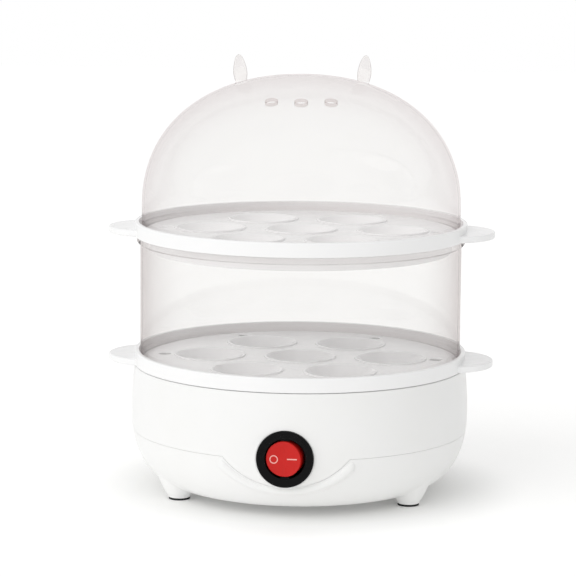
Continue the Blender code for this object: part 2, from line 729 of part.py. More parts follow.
def foot_profile():
    """Return the profile of one bell-shaped foot, from its sole up into the bowl."""
    corners = [(0.0, FOOT_BOTTOM), (FOOT_TIP_RADIUS - FOOT_TIP_ROUND, FOOT_BOTTOM)]
    low = FOOT_BOTTOM + FOOT_TIP_ROUND
    for index in range(FOOT_STEPS + 1):
        share = index / FOOT_STEPS
        radius = FOOT_TIP_RADIUS + (FOOT_ROOT_RADIUS - FOOT_TIP_RADIUS) * share ** FOOT_BELL_POWER
        corners.append((radius, low + (FOOT_ROOT_HEIGHT - low) * share))
    corners.append((0.0, FOOT_ROOT_HEIGHT))
    return corners


def smile_route():
    """Return points along the smile, on a curve sunk just below the bowl's surface."""
    sink = RIDGE_RADIUS - RIDGE_PROUD
    end_height = LOWER_TOP - RIDGE_RADIUS
    spread = math.acos((SMILE_CENTRE - end_height) / SMILE_RADIUS)
    points = []
    for x, z in arc(SMILE_RADIUS, -math.pi / 2 - spread, -math.pi / 2 + spread, SMILE_STEPS, (0.0, SMILE_CENTRE)):
        points.append(Vector((x, -math.sqrt((bowl_radius(z) - sink) ** 2 - x ** 2), z)))
    return points


def build_lower_housing():
    """Build the bowl with its three feet, the ridge of the smile, screw bosses and drain slots."""
    bowl = bowl_profile(FLOOR_HEIGHT, LOWER_TOP)
    outside = [(0.0, FLOOR_HEIGHT)] + bowl + [(LIP_OUTER, LOWER_TOP), (LIP_OUTER, LIP_TOP), (0.0, LIP_TOP)]
    housing = make_piece("lower_housing", turned(outside), WHITE_PLASTIC)

    feet = [(turned(foot_profile(), FOOT_SIDES), polar(FOOT_CIRCLE, angle)) for angle in FOOT_ANGLES]
    boolean(housing, "UNION", "feet", gather(feet))
    route = smile_route()
    shares = [1.0] * len(route)
    shares[0] = RIDGE_PROUD / RIDGE_RADIUS
    shares[-1] = RIDGE_PROUD / RIDGE_RADIUS
    boolean(housing, "UNION", "smile ridge", tube(route, RIDGE_RADIUS, RIDGE_RESOLUTION, shares))

    root = LOWER_TOP - LIP_ROOT
    inside = [(0.0, INNER_FLOOR)] + bowl_profile(INNER_FLOOR, root, SHELL_WALL)
    inside += [(LIP_INNER, root + LIP_WALL), (LIP_INNER, LIP_TOP + CUT_OVERRUN), (0.0, LIP_TOP + CUT_OVERRUN)]
    boolean(housing, "DIFFERENCE", "hollow", turned(inside))

    bosses = []
    for angle in FOOT_ANGLES:
        boss = rod(SCREW_BOSS_RADIUS, INNER_FLOOR - SHELL_WALL / 2, SCREW_BOSS_TOP)
        bosses.append((boss, polar(FOOT_CIRCLE, angle)))
    boolean(housing, "UNION", "screw bosses", gather(bosses))

    cuts = []
    for angle in FOOT_ANGLES:
        stepped = turned([(0.0, -CUT_OVERRUN), (COUNTERBORE, -CUT_OVERRUN), (COUNTERBORE, SCREW_SEAT),
                          (SCREW_HOLE, SCREW_SEAT), (SCREW_HOLE, SCREW_BOSS_TOP + CUT_OVERRUN),
                          (0.0, SCREW_BOSS_TOP + CUT_OVERRUN)], SMALL_STEPS)
        cuts.append((stepped, polar(FOOT_CIRCLE, angle)))
    for index in range(SLOT_COUNT):
        angle = math.tau * (index + 0.5) / SLOT_COUNT
        slot = block(SLOT_LENGTH, SLOT_WIDTH, FLOOR_HEIGHT - CUT_OVERRUN, INNER_FLOOR + CUT_OVERRUN)
        centre = polar(SLOT_INNER_RADIUS + SLOT_LENGTH / 2, angle)
        cuts.append((slot, centre @ Matrix.Rotation(angle, 4, "Z")))
    boolean(housing, "DIFFERENCE", "screw holes and drain slots", gather(cuts))

    chin = rod(SEAM_RADIUS + TOUCH_GAP / 2, SEAM_SPLIT + CUT_OVERRUN, BELLY_RADIUS + CUT_OVERRUN, CHIN_STEPS)
    boolean(housing, "DIFFERENCE", "room for the chin", gather([(chin, at(0.0, 0.0, SMILE_CENTRE) @ facing_front())]))


def build_feet_hardware():
    """Build the rubber pads that plug the feet and the screws that hold the housing together."""
    pad = turned([(0.0, 0.0), (PAD_RADIUS, 0.0), (PAD_RADIUS, PAD_THICKNESS),
                  (SCREW_HEAD_RADIUS, PAD_THICKNESS), (SCREW_HEAD_RADIUS, PAD_THICKNESS + PAD_STEM_LENGTH),
                  (0.0, PAD_THICKNESS + PAD_STEM_LENGTH)], FOOT_SIDES)
    make_copies("foot_pad", pad, DARK_RUBBER, [polar(FOOT_CIRCLE, angle) for angle in FOOT_ANGLES])
    screw = turned([(0.0, -SCREW_HEAD_HEIGHT), (SCREW_HEAD_RADIUS, -SCREW_HEAD_HEIGHT), (SCREW_HEAD_RADIUS, 0.0),
                    (SCREW_SHANK, 0.0), (SCREW_SHANK, SCREW_LENGTH), (0.0, SCREW_LENGTH)], SMALL_STEPS)
    seat = SCREW_SEAT - TOUCH_GAP
    make_copies("housing_screw", screw, ZINC_STEEL, [polar(FOOT_CIRCLE, angle, seat) for angle in FOOT_ANGLES])


def build_cord_grommet():
    """Build the grommet that the cord would pass through, snapped into the back wall."""
    outer = INLET_OUTER_SEAT + INLET_FLANGE_THICKNESS
    inner = INLET_INNER_SEAT - INLET_SNAP_THICKNESS
    profile = filleted([
        (INLET_BORE, inner, 0.0),
        (INLET_SNAP_RADIUS, inner, INLET_EDGE),
        (INLET_SNAP_RADIUS, INLET_INNER_SEAT, 0.0),
        (INLET_NECK, INLET_INNER_SEAT, 0.0),
        (INLET_NECK, INLET_OUTER_SEAT, 0.0),
        (INLET_FLANGE, INLET_OUTER_SEAT, 0.0),
        (INLET_FLANGE, outer, INLET_EDGE),
        (INLET_COLLAR_RADIUS, outer, 0.0),
        (INLET_COLLAR_RADIUS, outer + INLET_COLLAR_LENGTH, INLET_EDGE),
        (INLET_BORE, outer + INLET_COLLAR_LENGTH, 0.0),
    ])
    facing_back = at(0.0, 0.0, INLET_HEIGHT) @ Matrix.Rotation(math.radians(-90), 4, "X")
    make_piece("cord_grommet", gather([(turned(profile, SWITCH_STEPS, ring=True), facing_back)]), DARK_RUBBER)


# Heating parts
def build_heating_plate():
    """Build the stainless water dish with its flange and three weld studs."""
    low = DISH_RADIUS - DISH_TAPER
    under = DISH_FLOOR - PLATE_SHEET
    profile = filleted([
        (0.0, DISH_FLOOR, 0.0),
        (low - PLATE_SHEET, DISH_FLOOR, DISH_ROUND - PLATE_SHEET),
        (DISH_RADIUS - PLATE_SHEET, FLANGE_TOP, DISH_SHOULDER),
        (PLATE_RADIUS, FLANGE_TOP, 0.0),
        (PLATE_RADIUS, FLANGE_BOTTOM, 0.0),
        (DISH_RADIUS, FLANGE_BOTTOM, DISH_SHOULDER - PLATE_SHEET),
        (low, under, DISH_ROUND),
        (0.0, under, 0.0),
    ])
    plate = make_piece("heating_plate", turned(profile), STAINLESS)
    studs = []
    for angle in STUD_ANGLES:
        stud = rod(STUD_RADIUS, FLANGE_BOTTOM - STUD_LENGTH, FLANGE_BOTTOM + PLATE_SHEET / 2)
        studs.append((stud, polar(STUD_CIRCLE, angle)))
    boolean(plate, "UNION", "weld studs", gather(studs))

    seal = washer(PLATE_RADIUS - SEAL_WIDTH, PLATE_RADIUS, SEAL_BOTTOM, SEAL_BOTTOM + SEAL_THICKNESS, ROUND_STEPS)
    make_piece("plate_seal", seal, SILICONE)

    nut = washer(STUD_HOLE, NUT_RADIUS, -NUT_HEIGHT, 0.0, NUT_SIDES * 2)
    flatten_nut(nut)
    tops = [NUT_TOP] * len(STUD_ANGLES)
    tops[-1] = TAG_TOP - TAG_THICKNESS - TOUCH_GAP
    places = [polar(STUD_CIRCLE, angle, top) for angle, top in zip(STUD_ANGLES, tops)]
    make_copies("plate_nut", nut, ZINC_STEEL, places)


def flatten_nut(nut):
    """Pull every second corner of a nut's outline in to the middle of a flat."""
    flat = NUT_RADIUS * math.cos(math.pi / NUT_SIDES)
    for vert in nut.verts:
        distance = vert.co.xy.length
        corner = round(math.atan2(vert.co.y, vert.co.x) / (math.pi / NUT_SIDES)) % 2
        if corner and distance > (STUD_HOLE + NUT_RADIUS) / 2:
            vert.co.xy *= flat / distance


def tag_place():
    """Return the matrix that turns the earth tag's tail along the ledge from the last stud."""
    angle = STUD_ANGLES[-1]
    return polar(STUD_CIRCLE, angle) @ Matrix.Rotation(angle + math.radians(90), 4, "Z")


def build_earth_tag():
    """Build the ring tag that earths the plate at one stud."""
    half = TAG_TAIL_WIDTH / 2
    turn = math.asin(half / TAG_RADIUS)
    outline = [(TAG_TAIL_LENGTH, -half), (TAG_TAIL_LENGTH, half)]
    outline += arc(TAG_RADIUS, turn, math.tau - turn, SMALL_STEPS)
    tag = make_piece("earth_tag", extruded(outline, TAG_TOP - TAG_THICKNESS, TAG_TOP), BRASS, tag_place())
    hole = rod(STUD_HOLE, TAG_TOP - CUT_OVERRUN, TAG_TOP + CUT_OVERRUN)
    boolean(tag, "DIFFERENCE", "stud hole", hole)


def build_heat_spreader():
    """Build the aluminium disc under the dish, with blind holes for the bracket's screws."""
    spreader = make_piece("heat_spreader", rod(SPREADER_RADIUS, SPREADER_BOTTOM, SPREADER_TOP, ROUND_STEPS), ALUMINIUM)
    depth = SPREADER_BOTTOM + BRACKET_SCREW_REACH + TOUCH_GAP
    holes = []
    for side in (-1, 1):
        hole = rod(BRACKET_SCREW_SHANK + TOUCH_GAP, SPREADER_BOTTOM - CUT_OVERRUN, depth)
        holes.append((hole, at(side * BRACKET_SCREW_X)))
    boolean(spreader, "DIFFERENCE", "screw holes", gather(holes))


def element_route():
    """Return points round the heating element, with its ends turned down, and radius shares."""
    start = math.pi / 2 + ELEMENT_END_ANGLE
    end = math.pi / 2 - ELEMENT_END_ANGLE + math.tau
    bend = ELEMENT_BEND / ELEMENT_RADIUS
    ring = []
    for x, y in arc(ELEMENT_RADIUS, start + bend, end - bend, ELEMENT_STEPS):
        ring.append(Vector((x, y, ELEMENT_CENTRE)))
    ends = []
    for tip, inward in ((start, bend), (end, -bend)):
        side = []
        for index in range(1, ELEMENT_BEND_STEPS + 1):
            turn = math.pi / 2 * index / ELEMENT_BEND_STEPS
            angle = tip + inward * (1.0 - math.sin(turn))
            drop = ELEMENT_BEND * (1.0 - math.cos(turn))
            side.append(Vector((ELEMENT_RADIUS * math.cos(angle), ELEMENT_RADIUS * math.sin(angle),
                                ELEMENT_CENTRE - drop)))
        foot = side[-1] - Vector((0.0, 0.0, ELEMENT_LEG))
        step = foot - Vector((0.0, 0.0, ELEMENT_PIN_STEP))
        side += [foot, step, step - Vector((0.0, 0.0, ELEMENT_PIN))]
        ends.append(side)
    route = ends[0][::-1] + ring + ends[1]
    shares = [1.0] * len(route)
    for index in (0, 1, -2, -1):
        shares[index] = ELEMENT_PIN_SHARE
    return route, shares


def build_heating_element():
    """Build the tubular element that runs round under the spreader."""
    route, shares = element_route()
    make_piece("heating_element", tube(route, ELEMENT_TUBE, ELEMENT_RESOLUTION, shares), ZINC_STEEL)


def build_thermostat():
    """Build the disc thermostat, its bracket and the bracket's two screws."""
    profile = [(0.0, THERMOSTAT_BOTTOM), (THERMOSTAT_BODY_RADIUS, THERMOSTAT_BOTTOM),
               (THERMOSTAT_BODY_RADIUS, CAP_BOTTOM), (THERMOSTAT_CAP_RADIUS, CAP_BOTTOM),
               (THERMOSTAT_CAP_RADIUS, CAP_TOP), (0.0, CAP_TOP)]
    thermostat = make_piece("thermostat", turned(profile, SWITCH_STEPS), BLACK_PHENOLIC)
    tabs = []
    for side in (-1, 1):
        tab = block(THERMOSTAT_TAB_THICKNESS, THERMOSTAT_TAB_WIDTH, THERMOSTAT_TAB_END,
                    THERMOSTAT_BOTTOM + THERMOSTAT_TAB_THICKNESS)
        tabs.append((tab, at(side * THERMOSTAT_TAB_X)))
    boolean(thermostat, "UNION", "tabs", gather(tabs))

    ring = THERMOSTAT_BODY_RADIUS + TOUCH_GAP + BRACKET_RING_MARGIN
    half = BRACKET_WIDTH / 2
    turn = math.asin(half / ring)
    outline = arc(ring, turn, math.pi - turn, CLIP_STEPS)
    outline += [(-BRACKET_HALF_LENGTH, half), (-BRACKET_HALF_LENGTH, -half)]
    outline += arc(ring, math.pi + turn, math.tau - turn, CLIP_STEPS)
    outline += [(BRACKET_HALF_LENGTH, -half), (BRACKET_HALF_LENGTH, half)]
    bracket = make_piece("thermostat_bracket", extruded(outline, BRACKET_BOTTOM, BRACKET_TOP), ZINC_STEEL)
    low = BRACKET_BOTTOM - CUT_OVERRUN
    high = BRACKET_TOP + CUT_OVERRUN
    cuts = [(rod(THERMOSTAT_BODY_RADIUS + TOUCH_GAP, low, high, SWITCH_STEPS), at())]
    for side in (-1, 1):
        cuts.append((rod(BRACKET_SCREW_SHANK + TOUCH_GAP, low, high), at(side * BRACKET_SCREW_X)))
    boolean(bracket, "DIFFERENCE", "holes", gather(cuts))

    seat = BRACKET_BOTTOM - TOUCH_GAP
    tip = SPREADER_BOTTOM + BRACKET_SCREW_REACH
    screw = turned([(0.0, seat - BRACKET_SCREW_HEAD_HEIGHT),
                    (BRACKET_SCREW_HEAD, seat - BRACKET_SCREW_HEAD_HEIGHT), (BRACKET_SCREW_HEAD, seat),
                    (BRACKET_SCREW_SHANK, seat), (BRACKET_SCREW_SHANK, tip), (0.0, tip)], SMALL_STEPS)
    make_copies("bracket_screw", screw, ZINC_STEEL, [at(side * BRACKET_SCREW_X) for side in (-1, 1)])


def build_thermal_fuse():
    """Build the thermal fuse and the strap that holds it under the spreader."""
    lying = at(FUSE_X, 0.0, FUSE_HEIGHT) @ facing_front()
    fuse = rod(FUSE_RADIUS, -FUSE_LENGTH / 2, FUSE_LENGTH / 2)
    make_piece("thermal_fuse", fuse, STAINLESS, lying)
    inner = FUSE_RADIUS + TOUCH_GAP
    outer = inner + CLIP_SHEET
    top = FUSE_DROP - TOUCH_GAP
    foot = outer + CLIP_FOOT
    outline = [(-foot, top), (-inner, top)]
    outline += arc(inner, math.pi, math.tau, CLIP_STEPS)
    outline += [(inner, top), (foot, top), (foot, top - CLIP_SHEET), (outer, top - CLIP_SHEET)]
    outline += arc(outer, math.tau, math.pi, CLIP_STEPS)
    outline += [(-outer, top - CLIP_SHEET), (-foot, top - CLIP_SHEET)]
    make_piece("fuse_clip", extruded(outline, -CLIP_WIDTH / 2, CLIP_WIDTH / 2), ALUMINIUM, lying)


# Wiring
def block_ways():
    """Return the sideways place of each way of the terminal block."""
    pitch = BLOCK_LENGTH / BLOCK_WAYS
    return [BLOCK_X + pitch * (index - (BLOCK_WAYS - 1) / 2) for index in range(BLOCK_WAYS)]


def build_terminal_block():
    """Build the three-way terminal block on the floor and its clamping screws."""
    body = block(BLOCK_LENGTH, BLOCK_WIDTH, BLOCK_BOTTOM, BLOCK_TOP)
    terminal = make_piece("terminal_block", gather([(body, at(BLOCK_X, BLOCK_Y))]), PALE_PLASTIC)
    ports = []
    wells = []
    screw_top = BLOCK_TOP - BLOCK_SCREW_SINK
    well = BLOCK_SCREW_RADIUS + TOUCH_GAP
    for x in block_ways():
        for side in (-1, 1):
            face = side * BLOCK_WIDTH / 2
            low, high = sorted((face - side * BLOCK_PORT_DEPTH, face + side * CUT_OVERRUN))
            ports.append((rod(BLOCK_PORT_RADIUS, low, high), at(x, BLOCK_Y, PORT_HEIGHT) @ facing_front()))
        wells.append((rod(well, BLOCK_TOP - BLOCK_HEIGHT * BLOCK_WELL_SHARE, BLOCK_TOP + CUT_OVERRUN), at(x, BLOCK_Y)))
    boolean(terminal, "DIFFERENCE", "wire ports", gather(ports))
    boolean(terminal, "DIFFERENCE", "screw wells", gather(wells))
    screw = rod(BLOCK_SCREW_RADIUS, screw_top - BLOCK_SCREW_HEIGHT, screw_top)
    make_copies("terminal_screw", screw, BRASS, [at(x, BLOCK_Y) for x in block_ways()])


def lead_route(start, start_pull, end, end_pull):
    """Return points along a slack lead, from its two ends and the pulls that shape it there."""
    first = start + start_pull
    last = end + end_pull
    points = []
    for index in range(LEAD_STEPS + 1):
        t = index / LEAD_STEPS
        u = 1.0 - t
        points.append(start * u ** 3 + first * (u * u * t * 3) + last * (u * t * t * 3) + end * t ** 3)
    return points


def build_leads():
    """Build the leads between the cord's terminals, the switch, the heating parts and earth."""
    front = Vector((0.0, -1.0, 0.0))
    down = Vector((0.0, 0.0, -1.0))
    earth_x, live_x, neutral_x = block_ways()
    entry = BLOCK_WIDTH / 2 - LEAD_ENTRY
    live_port = Vector((live_x, BLOCK_Y - entry, PORT_HEIGHT))
    neutral_port = Vector((neutral_x, BLOCK_Y + entry, PORT_HEIGHT))
    earth_port = Vector((earth_x, BLOCK_Y + entry, PORT_HEIGHT))
    blade_y = -SWITCH_PIVOT - TERMINAL_END + TOUCH_GAP
    side_blade = Vector((TERMINAL_X, blade_y, SWITCH_HEIGHT))
    middle_blade = Vector((0.0, blade_y, SWITCH_HEIGHT))
    tab_end = THERMOSTAT_TAB_END - TOUCH_GAP
    left_tab = Vector((-THERMOSTAT_TAB_X, 0.0, tab_end))
    right_tab = Vector((THERMOSTAT_TAB_X, 0.0, tab_end))
    fuse_end = Vector((0.0, FUSE_LENGTH / 2 + TOUCH_GAP, 0.0))
    fuse = Vector((FUSE_X, 0.0, FUSE_HEIGHT))
    pin_x = ELEMENT_RADIUS * math.sin(ELEMENT_END_ANGLE)
    pin_y = ELEMENT_RADIUS * math.cos(ELEMENT_END_ANGLE)
    pin_end = ELEMENT_END - TOUCH_GAP
    tag = tag_place() @ Vector((TAG_TAIL_LENGTH + TOUCH_GAP, 0.0, TAG_TOP - LEAD_RADIUS))
    tag_way = tag_place().to_3x3() @ Vector((1.0, 0.0, 0.0))
    routes = (
        ("live_lead", live_port, front * LEAD_LONG, side_blade, -front * LEAD_LONG, LEAD_RADIUS, BROWN_SLEEVE),
        ("switch_lead", middle_blade, -front * LEAD_MIDDLE, left_tab, down * LEAD_MIDDLE, LEAD_RADIUS, BROWN_SLEEVE),
        ("fuse_lead_in", right_tab, down * LEAD_MIDDLE, fuse - fuse_end, front * LEAD_SHORT, FUSE_LEAD_RADIUS,
         GLASS_SLEEVE),
        ("fuse_lead_out", fuse + fuse_end, -front * LEAD_SHORT, Vector((pin_x, pin_y, pin_end)),
         down * LEAD_SHORT, FUSE_LEAD_RADIUS, GLASS_SLEEVE),
        ("neutral_lead", Vector((-pin_x, pin_y, pin_end)), down * LEAD_SHORT, neutral_port, -front * LEAD_SHORT,
         LEAD_RADIUS, BLUE_SLEEVE),
        ("earth_lead", tag, tag_way * LEAD_MIDDLE, earth_port, -front * LEAD_LONG, LEAD_RADIUS, GREEN_SLEEVE),
    )
    for name, start, start_pull, end, end_pull, radius, look in routes:
        route = lead_route(start, start_pull, end, end_pull)
        make_piece(name, tube(route, radius, LEAD_RESOLUTION), look)


# Switch
def build_switch_body():
    """Build the round switch body: bezel, barrel, snap wings, pivot sockets and blade slots."""
    crown = BEZEL_RADIUS - BEZEL_EDGE
    profile = [
        (0.0, BARREL_BACK),
        (BARREL_RADIUS, BARREL_BACK),
        (BARREL_RADIUS, BEZEL_BACK),
        (BEZEL_RADIUS, BEZEL_BACK),
        (BEZEL_RADIUS, PIVOT_DEPTH - BEZEL_EDGE),
        (crown, PIVOT_DEPTH),
        (OPENING_RADIUS + BEZEL_DISH_WIDTH, PIVOT_DEPTH),
        (OPENING_RADIUS, PIVOT_DEPTH - BEZEL_DISH_DEPTH),
        (OPENING_RADIUS, BARREL_INSIDE),
        (0.0, BARREL_INSIDE),
    ]
    body = make_piece("switch_body", turned(profile, SWITCH_STEPS), BLACK_PLASTIC, switch_place())
    wings = []
    front = BOSS_BACK - TOUCH_GAP
    for side in (-1, 1):
        outline = [(side * (BARREL_RADIUS - WING_ROOT), front - WING_LENGTH),
                   (side * (BARREL_RADIUS + WING_PROUD), front),
                   (side * (BARREL_RADIUS - WING_ROOT), front)]
        wings.append((extruded(outline, -WING_WIDTH / 2, WING_WIDTH / 2), facing_front()))
    boolean(body, "UNION", "snap wings", gather(wings))

    socket = PIN_REACH + TOUCH_GAP
    cuts = [(rod(PIN_RADIUS + TOUCH_GAP, -socket, socket), facing_front())]
    for x in (0.0, TERMINAL_X):
        slot = block(TERMINAL_THICKNESS + TOUCH_GAP * 2, TERMINAL_WIDTH + TOUCH_GAP * 2,
                     BARREL_BACK - CUT_OVERRUN, BARREL_INSIDE + TOUCH_GAP)
        cuts.append((slot, at(x)))
    boolean(body, "DIFFERENCE", "pivot sockets and blade slots", gather(cuts))

    blade = block(TERMINAL_THICKNESS, TERMINAL_WIDTH, TERMINAL_END, TERMINAL_TOP)
    make_copies("switch_blade", blade, BRASS, [switch_place() @ at(x) for x in (0.0, TERMINAL_X)])


def build_rocker():
    """Build the rocker with its pins and stem, tilted to the O side, and its plunger and spring."""
    tilted = switch_place() @ Matrix.Rotation(-ROCKER_SWING, 4, "Y")
    high = ROCKER_TOP + ROCKER_RADIUS * math.tan(ROCKER_SWING) + CUT_OVERRUN
    rocker = make_piece("rocker", rod(ROCKER_RADIUS, -ROCKER_SKIRT, high, SWITCH_STEPS), RED_PLASTIC, tilted)
    stem = rod(STEM_RADIUS, -STEM_REACH, -ROCKER_SKIRT / 2)
    boolean(rocker, "UNION", "stem", stem)
    boolean(rocker, "UNION", "pivot pins", gather([(rod(PIN_RADIUS, -PIN_REACH, PIN_REACH), facing_front())]))
    reach = ROCKER_RADIUS + CUT_OVERRUN
    rise = ROCKER_TOP + reach * math.tan(ROCKER_SWING)
    outline = [(0.0, ROCKER_TOP), (reach, rise), (reach, high + CUT_OVERRUN), (-reach, high + CUT_OVERRUN),
               (-reach, rise)]
    boolean(rocker, "DIFFERENCE", "two flats", gather([(extruded(outline, -reach, reach), facing_front())]))
    boolean(rocker, "DIFFERENCE", "plunger bore", rod(PLUNGER_BORE, -STEM_REACH - CUT_OVERRUN, 0.0))

    tip = [(PLUNGER_RADIUS * math.cos(angle), -PLUNGER_REACH + PLUNGER_RADIUS + PLUNGER_RADIUS * math.sin(angle))
           for angle in (-math.pi / 2, -math.pi / 3, -math.pi / 6, 0.0)]
    tip[0] = (0.0, -PLUNGER_REACH)
    plunger = turned(tip + [(PLUNGER_RADIUS, -PLUNGER_TOP), (0.0, -PLUNGER_TOP)], SMALL_STEPS)
    make_piece("rocker_plunger", plunger, BRASS, tilted)

    low = -PLUNGER_TOP + TOUCH_GAP + SPRING_WIRE
    top = -TOUCH_GAP - SPRING_WIRE
    coil = []
    count = SPRING_TURNS * SPRING_POINTS_PER_TURN
    for index in range(count + 1):
        angle = math.tau * index / SPRING_POINTS_PER_TURN
        coil.append(Vector((SPRING_RADIUS * math.cos(angle), SPRING_RADIUS * math.sin(angle),
                            low + (top - low) * index / count)))
    make_piece("plunger_spring", tube(coil, SPRING_WIRE, SPRING_RESOLUTION), STAINLESS, tilted)


def build_contact_arm():
    """Build the see-saw contact arm, a shallow V tipped away from the side blade."""
    rise = ARM_HALF_LENGTH * math.tan(ARM_SWING)
    outline = [(-ARM_HALF_LENGTH, rise), (0.0, 0.0), (ARM_HALF_LENGTH, rise),
               (ARM_HALF_LENGTH, rise + ARM_THICKNESS), (0.0, ARM_THICKNESS),
               (-ARM_HALF_LENGTH, rise + ARM_THICKNESS)]
    place = switch_place() @ at(0.0, 0.0, -ARM_PIVOT) @ Matrix.Rotation(ARM_SWING, 4, "Y")
    arm = gather([(extruded(outline, -ARM_WIDTH / 2, ARM_WIDTH / 2), facing_front())])
    make_piece("contact_arm", arm, BRASS, place)


# Egg trays
def tab_outline(radius):
    """Return the outline of a side tab: a disc's edge closed by an arc inside the tray's rim."""
    centre = TAB_TIP - TAB_RADIUS
    root = BAND_RADIUS - TRAY_RIM_WALL / 2
    cross_x = (root ** 2 - radius ** 2 + centre ** 2) / (centre * 2)
    cross_y = math.sqrt(root ** 2 - cross_x ** 2)
    turn = math.atan2(cross_y, cross_x - centre)
    sweep = math.atan2(cross_y, cross_x)
    outline = arc(radius, -turn, turn, TAB_STEPS, (centre, 0.0))
    return outline + arc(root, sweep, -sweep, TAB_ROOT_STEPS)[1:-1]


def tab_solid():
    """Return one side tab with rounded edges, its underside just above the tray's."""
    loops = []
    for side in (-1, 1):
        levels = []
        for index in range(TAB_ROUND_STEPS + 1):
            turn = math.pi / 2 * index / TAB_ROUND_STEPS
            radius = TAB_RADIUS - TAB_ROUND * (1.0 - math.sin(turn))
            edge = TAB_THICKNESS / 2 - TAB_ROUND * (1.0 - math.cos(turn))
            levels.append((radius, TAB_LIFT + TAB_THICKNESS / 2 + side * edge))
        loops += levels if side < 0 else levels[::-1]
    return lofted([[(x, y, z) for x, y in tab_outline(radius)] for radius, z in loops])


def seat_solid():
    """Return one funnel-shaped egg seat with its raised bead."""
    shoulder = SEAT_MOUTH + SEAT_BEAD_WIDTH
    top = PLATEAU_RISE + SEAT_BEAD_HEIGHT
    low = PLATEAU_RISE - SEAT_DEPTH
    profile = [(shoulder, top), (SEAT_MOUTH, top), (SEAT_THROAT, low), (SEAT_THROAT + SEAT_WALL, low),
               (shoulder, PLATEAU_RISE - PLATEAU_WALL - SEAT_ROOT)]
    return turned(profile, SEAT_STEPS, ring=True)


def build_tray(name, base):
    """Build one egg tray with its rim, channel, skirt, seven seats, steam holes and side tabs."""
    plateau_low = PLATEAU_RISE - PLATEAU_WALL
    profile = [
        (0.0, PLATEAU_RISE),
        (CHANNEL_INNER - PLATEAU_EDGE, PLATEAU_RISE),
        (CHANNEL_INNER, PLATEAU_RISE - PLATEAU_EDGE),
        (CHANNEL_INNER, CHANNEL_FLOOR),
        (CHANNEL_OUTER, CHANNEL_FLOOR),
        (CHANNEL_OUTER, BAND_HEIGHT),
        (BAND_RADIUS - EDGE_ROUND, BAND_HEIGHT),
        (BAND_RADIUS, BAND_HEIGHT - EDGE_ROUND),
        (BAND_RADIUS, 0.0),
        (SKIRT_RADIUS, 0.0),
        (SKIRT_RADIUS, -SKIRT_DROP),
        (SKIRT_RADIUS - SKIRT_WALL, -SKIRT_DROP),
        (SKIRT_RADIUS - SKIRT_WALL, plateau_low),
        (0.0, plateau_low),
    ]
    tray = make_piece(name, turned(profile), WHITE_PLASTIC, at(0.0, 0.0, base))
    places = [at()] + [polar(SEAT_CIRCLE, math.tau * index / SEAT_COUNT) for index in range(SEAT_COUNT)]
    low = plateau_low - CUT_OVERRUN
    high = PLATEAU_RISE + CUT_OVERRUN
    cuts = [(rod(SEAT_MOUTH + SEAT_BEAD_WIDTH / 2, low, high, SEAT_STEPS), place) for place in places]
    for index in range(SEAT_COUNT):
        hole = rod(STEAM_HOLE_RADIUS, low, high, STEAM_HOLE_STEPS)
        cuts.append((hole, polar(STEAM_HOLE_CIRCLE, math.tau * index / SEAT_COUNT)))
    boolean(tray, "DIFFERENCE", "seat and steam holes", gather(cuts))
    boolean(tray, "UNION", "egg seats", gather([(seat_solid(), place) for place in places]))
    tabs = [(tab_solid(), Matrix.Rotation(angle, 4, "Z")) for angle in (0.0, math.pi)]
    boolean(tray, "UNION", "side tabs", gather(tabs))


# Clear parts
def build_clear_ring():
    """Build the clear ring between the tiers, with its foot flare and top lip."""
    flare_top = RING_BOTTOM + FOOT_FLARE_HEIGHT
    lip_low = RING_TOP - RING_LIP_HEIGHT
    inside = RING_RADIUS - CLEAR_WALL
    lip = RING_RADIUS + RING_LIP_PROUD
    profile = filleted([
        (FLARE_RADIUS, RING_BOTTOM, 0.0),
        (FLARE_RADIUS, flare_top, 0.0),
        (RING_RADIUS, flare_top + FOOT_FLARE_BLEND, 0.0),
        (RING_RADIUS, lip_low - RING_LIP_BLEND, 0.0),
        (lip, lip_low, 0.0),
        (lip, RING_TOP, EDGE_ROUND),
        (inside, RING_TOP, 0.0),
        (inside, RING_BOTTOM, 0.0),
    ])
    make_piece("clear_ring", turned(profile, ring=True), CLEAR_PLASTIC)


def dome_profile(inset=0.0):
    """Return points of the dome from its top down to its spring line."""
    points = [(0.0, LID_SPRING + DOME_RISE - inset)]
    power = 2.0 / DOME_POWER
    for index in range(1, DOME_STEPS + 1):
        turn = math.pi / 2 * (1.0 - index / DOME_STEPS)
        radius = (DOME_RADIUS - inset) * max(math.cos(turn), 0.0) ** power
        points.append((radius, LID_SPRING + dome_height(radius, inset)))
    return points


def ear_place(side):
    """Return the matrix that stands an ear on the dome, leaning outwards."""
    radius = math.hypot(EAR_X, EAR_FORWARD)
    root = LID_SPRING + dome_height(radius)
    turned_lid = Matrix.Rotation(LID_TURN, 4, "Z")
    return turned_lid @ at(side * EAR_X, -EAR_FORWARD, root) @ Matrix.Rotation(side * EAR_LEAN, 4, "Y")


def ear_solid(inset=0.0, depth=0.0):
    """Return an ear's outer form, or the hollow inside it when there is an inset."""
    height = EAR_HEIGHT - inset
    profile = [(0.0, -EAR_ROOT - depth), (EAR_RADIUS - inset, -EAR_ROOT - depth)]
    if not inset:
        profile[1] = (EAR_RADIUS + EAR_FLARE, -EAR_ROOT)
        profile.append((EAR_RADIUS + EAR_FLARE, 0.0))
    for index in range(EAR_STEPS):
        turn = math.pi / 2 * index / EAR_STEPS
        share = math.sin(turn) ** (2.0 / EAR_POWER)
        low = EAR_FLARE_HEIGHT
        profile.append(((EAR_RADIUS - inset) * math.cos(turn), low + (height - low) * share))
    profile.append((0.0, height))
    return turned(profile, EAR_SIDES)


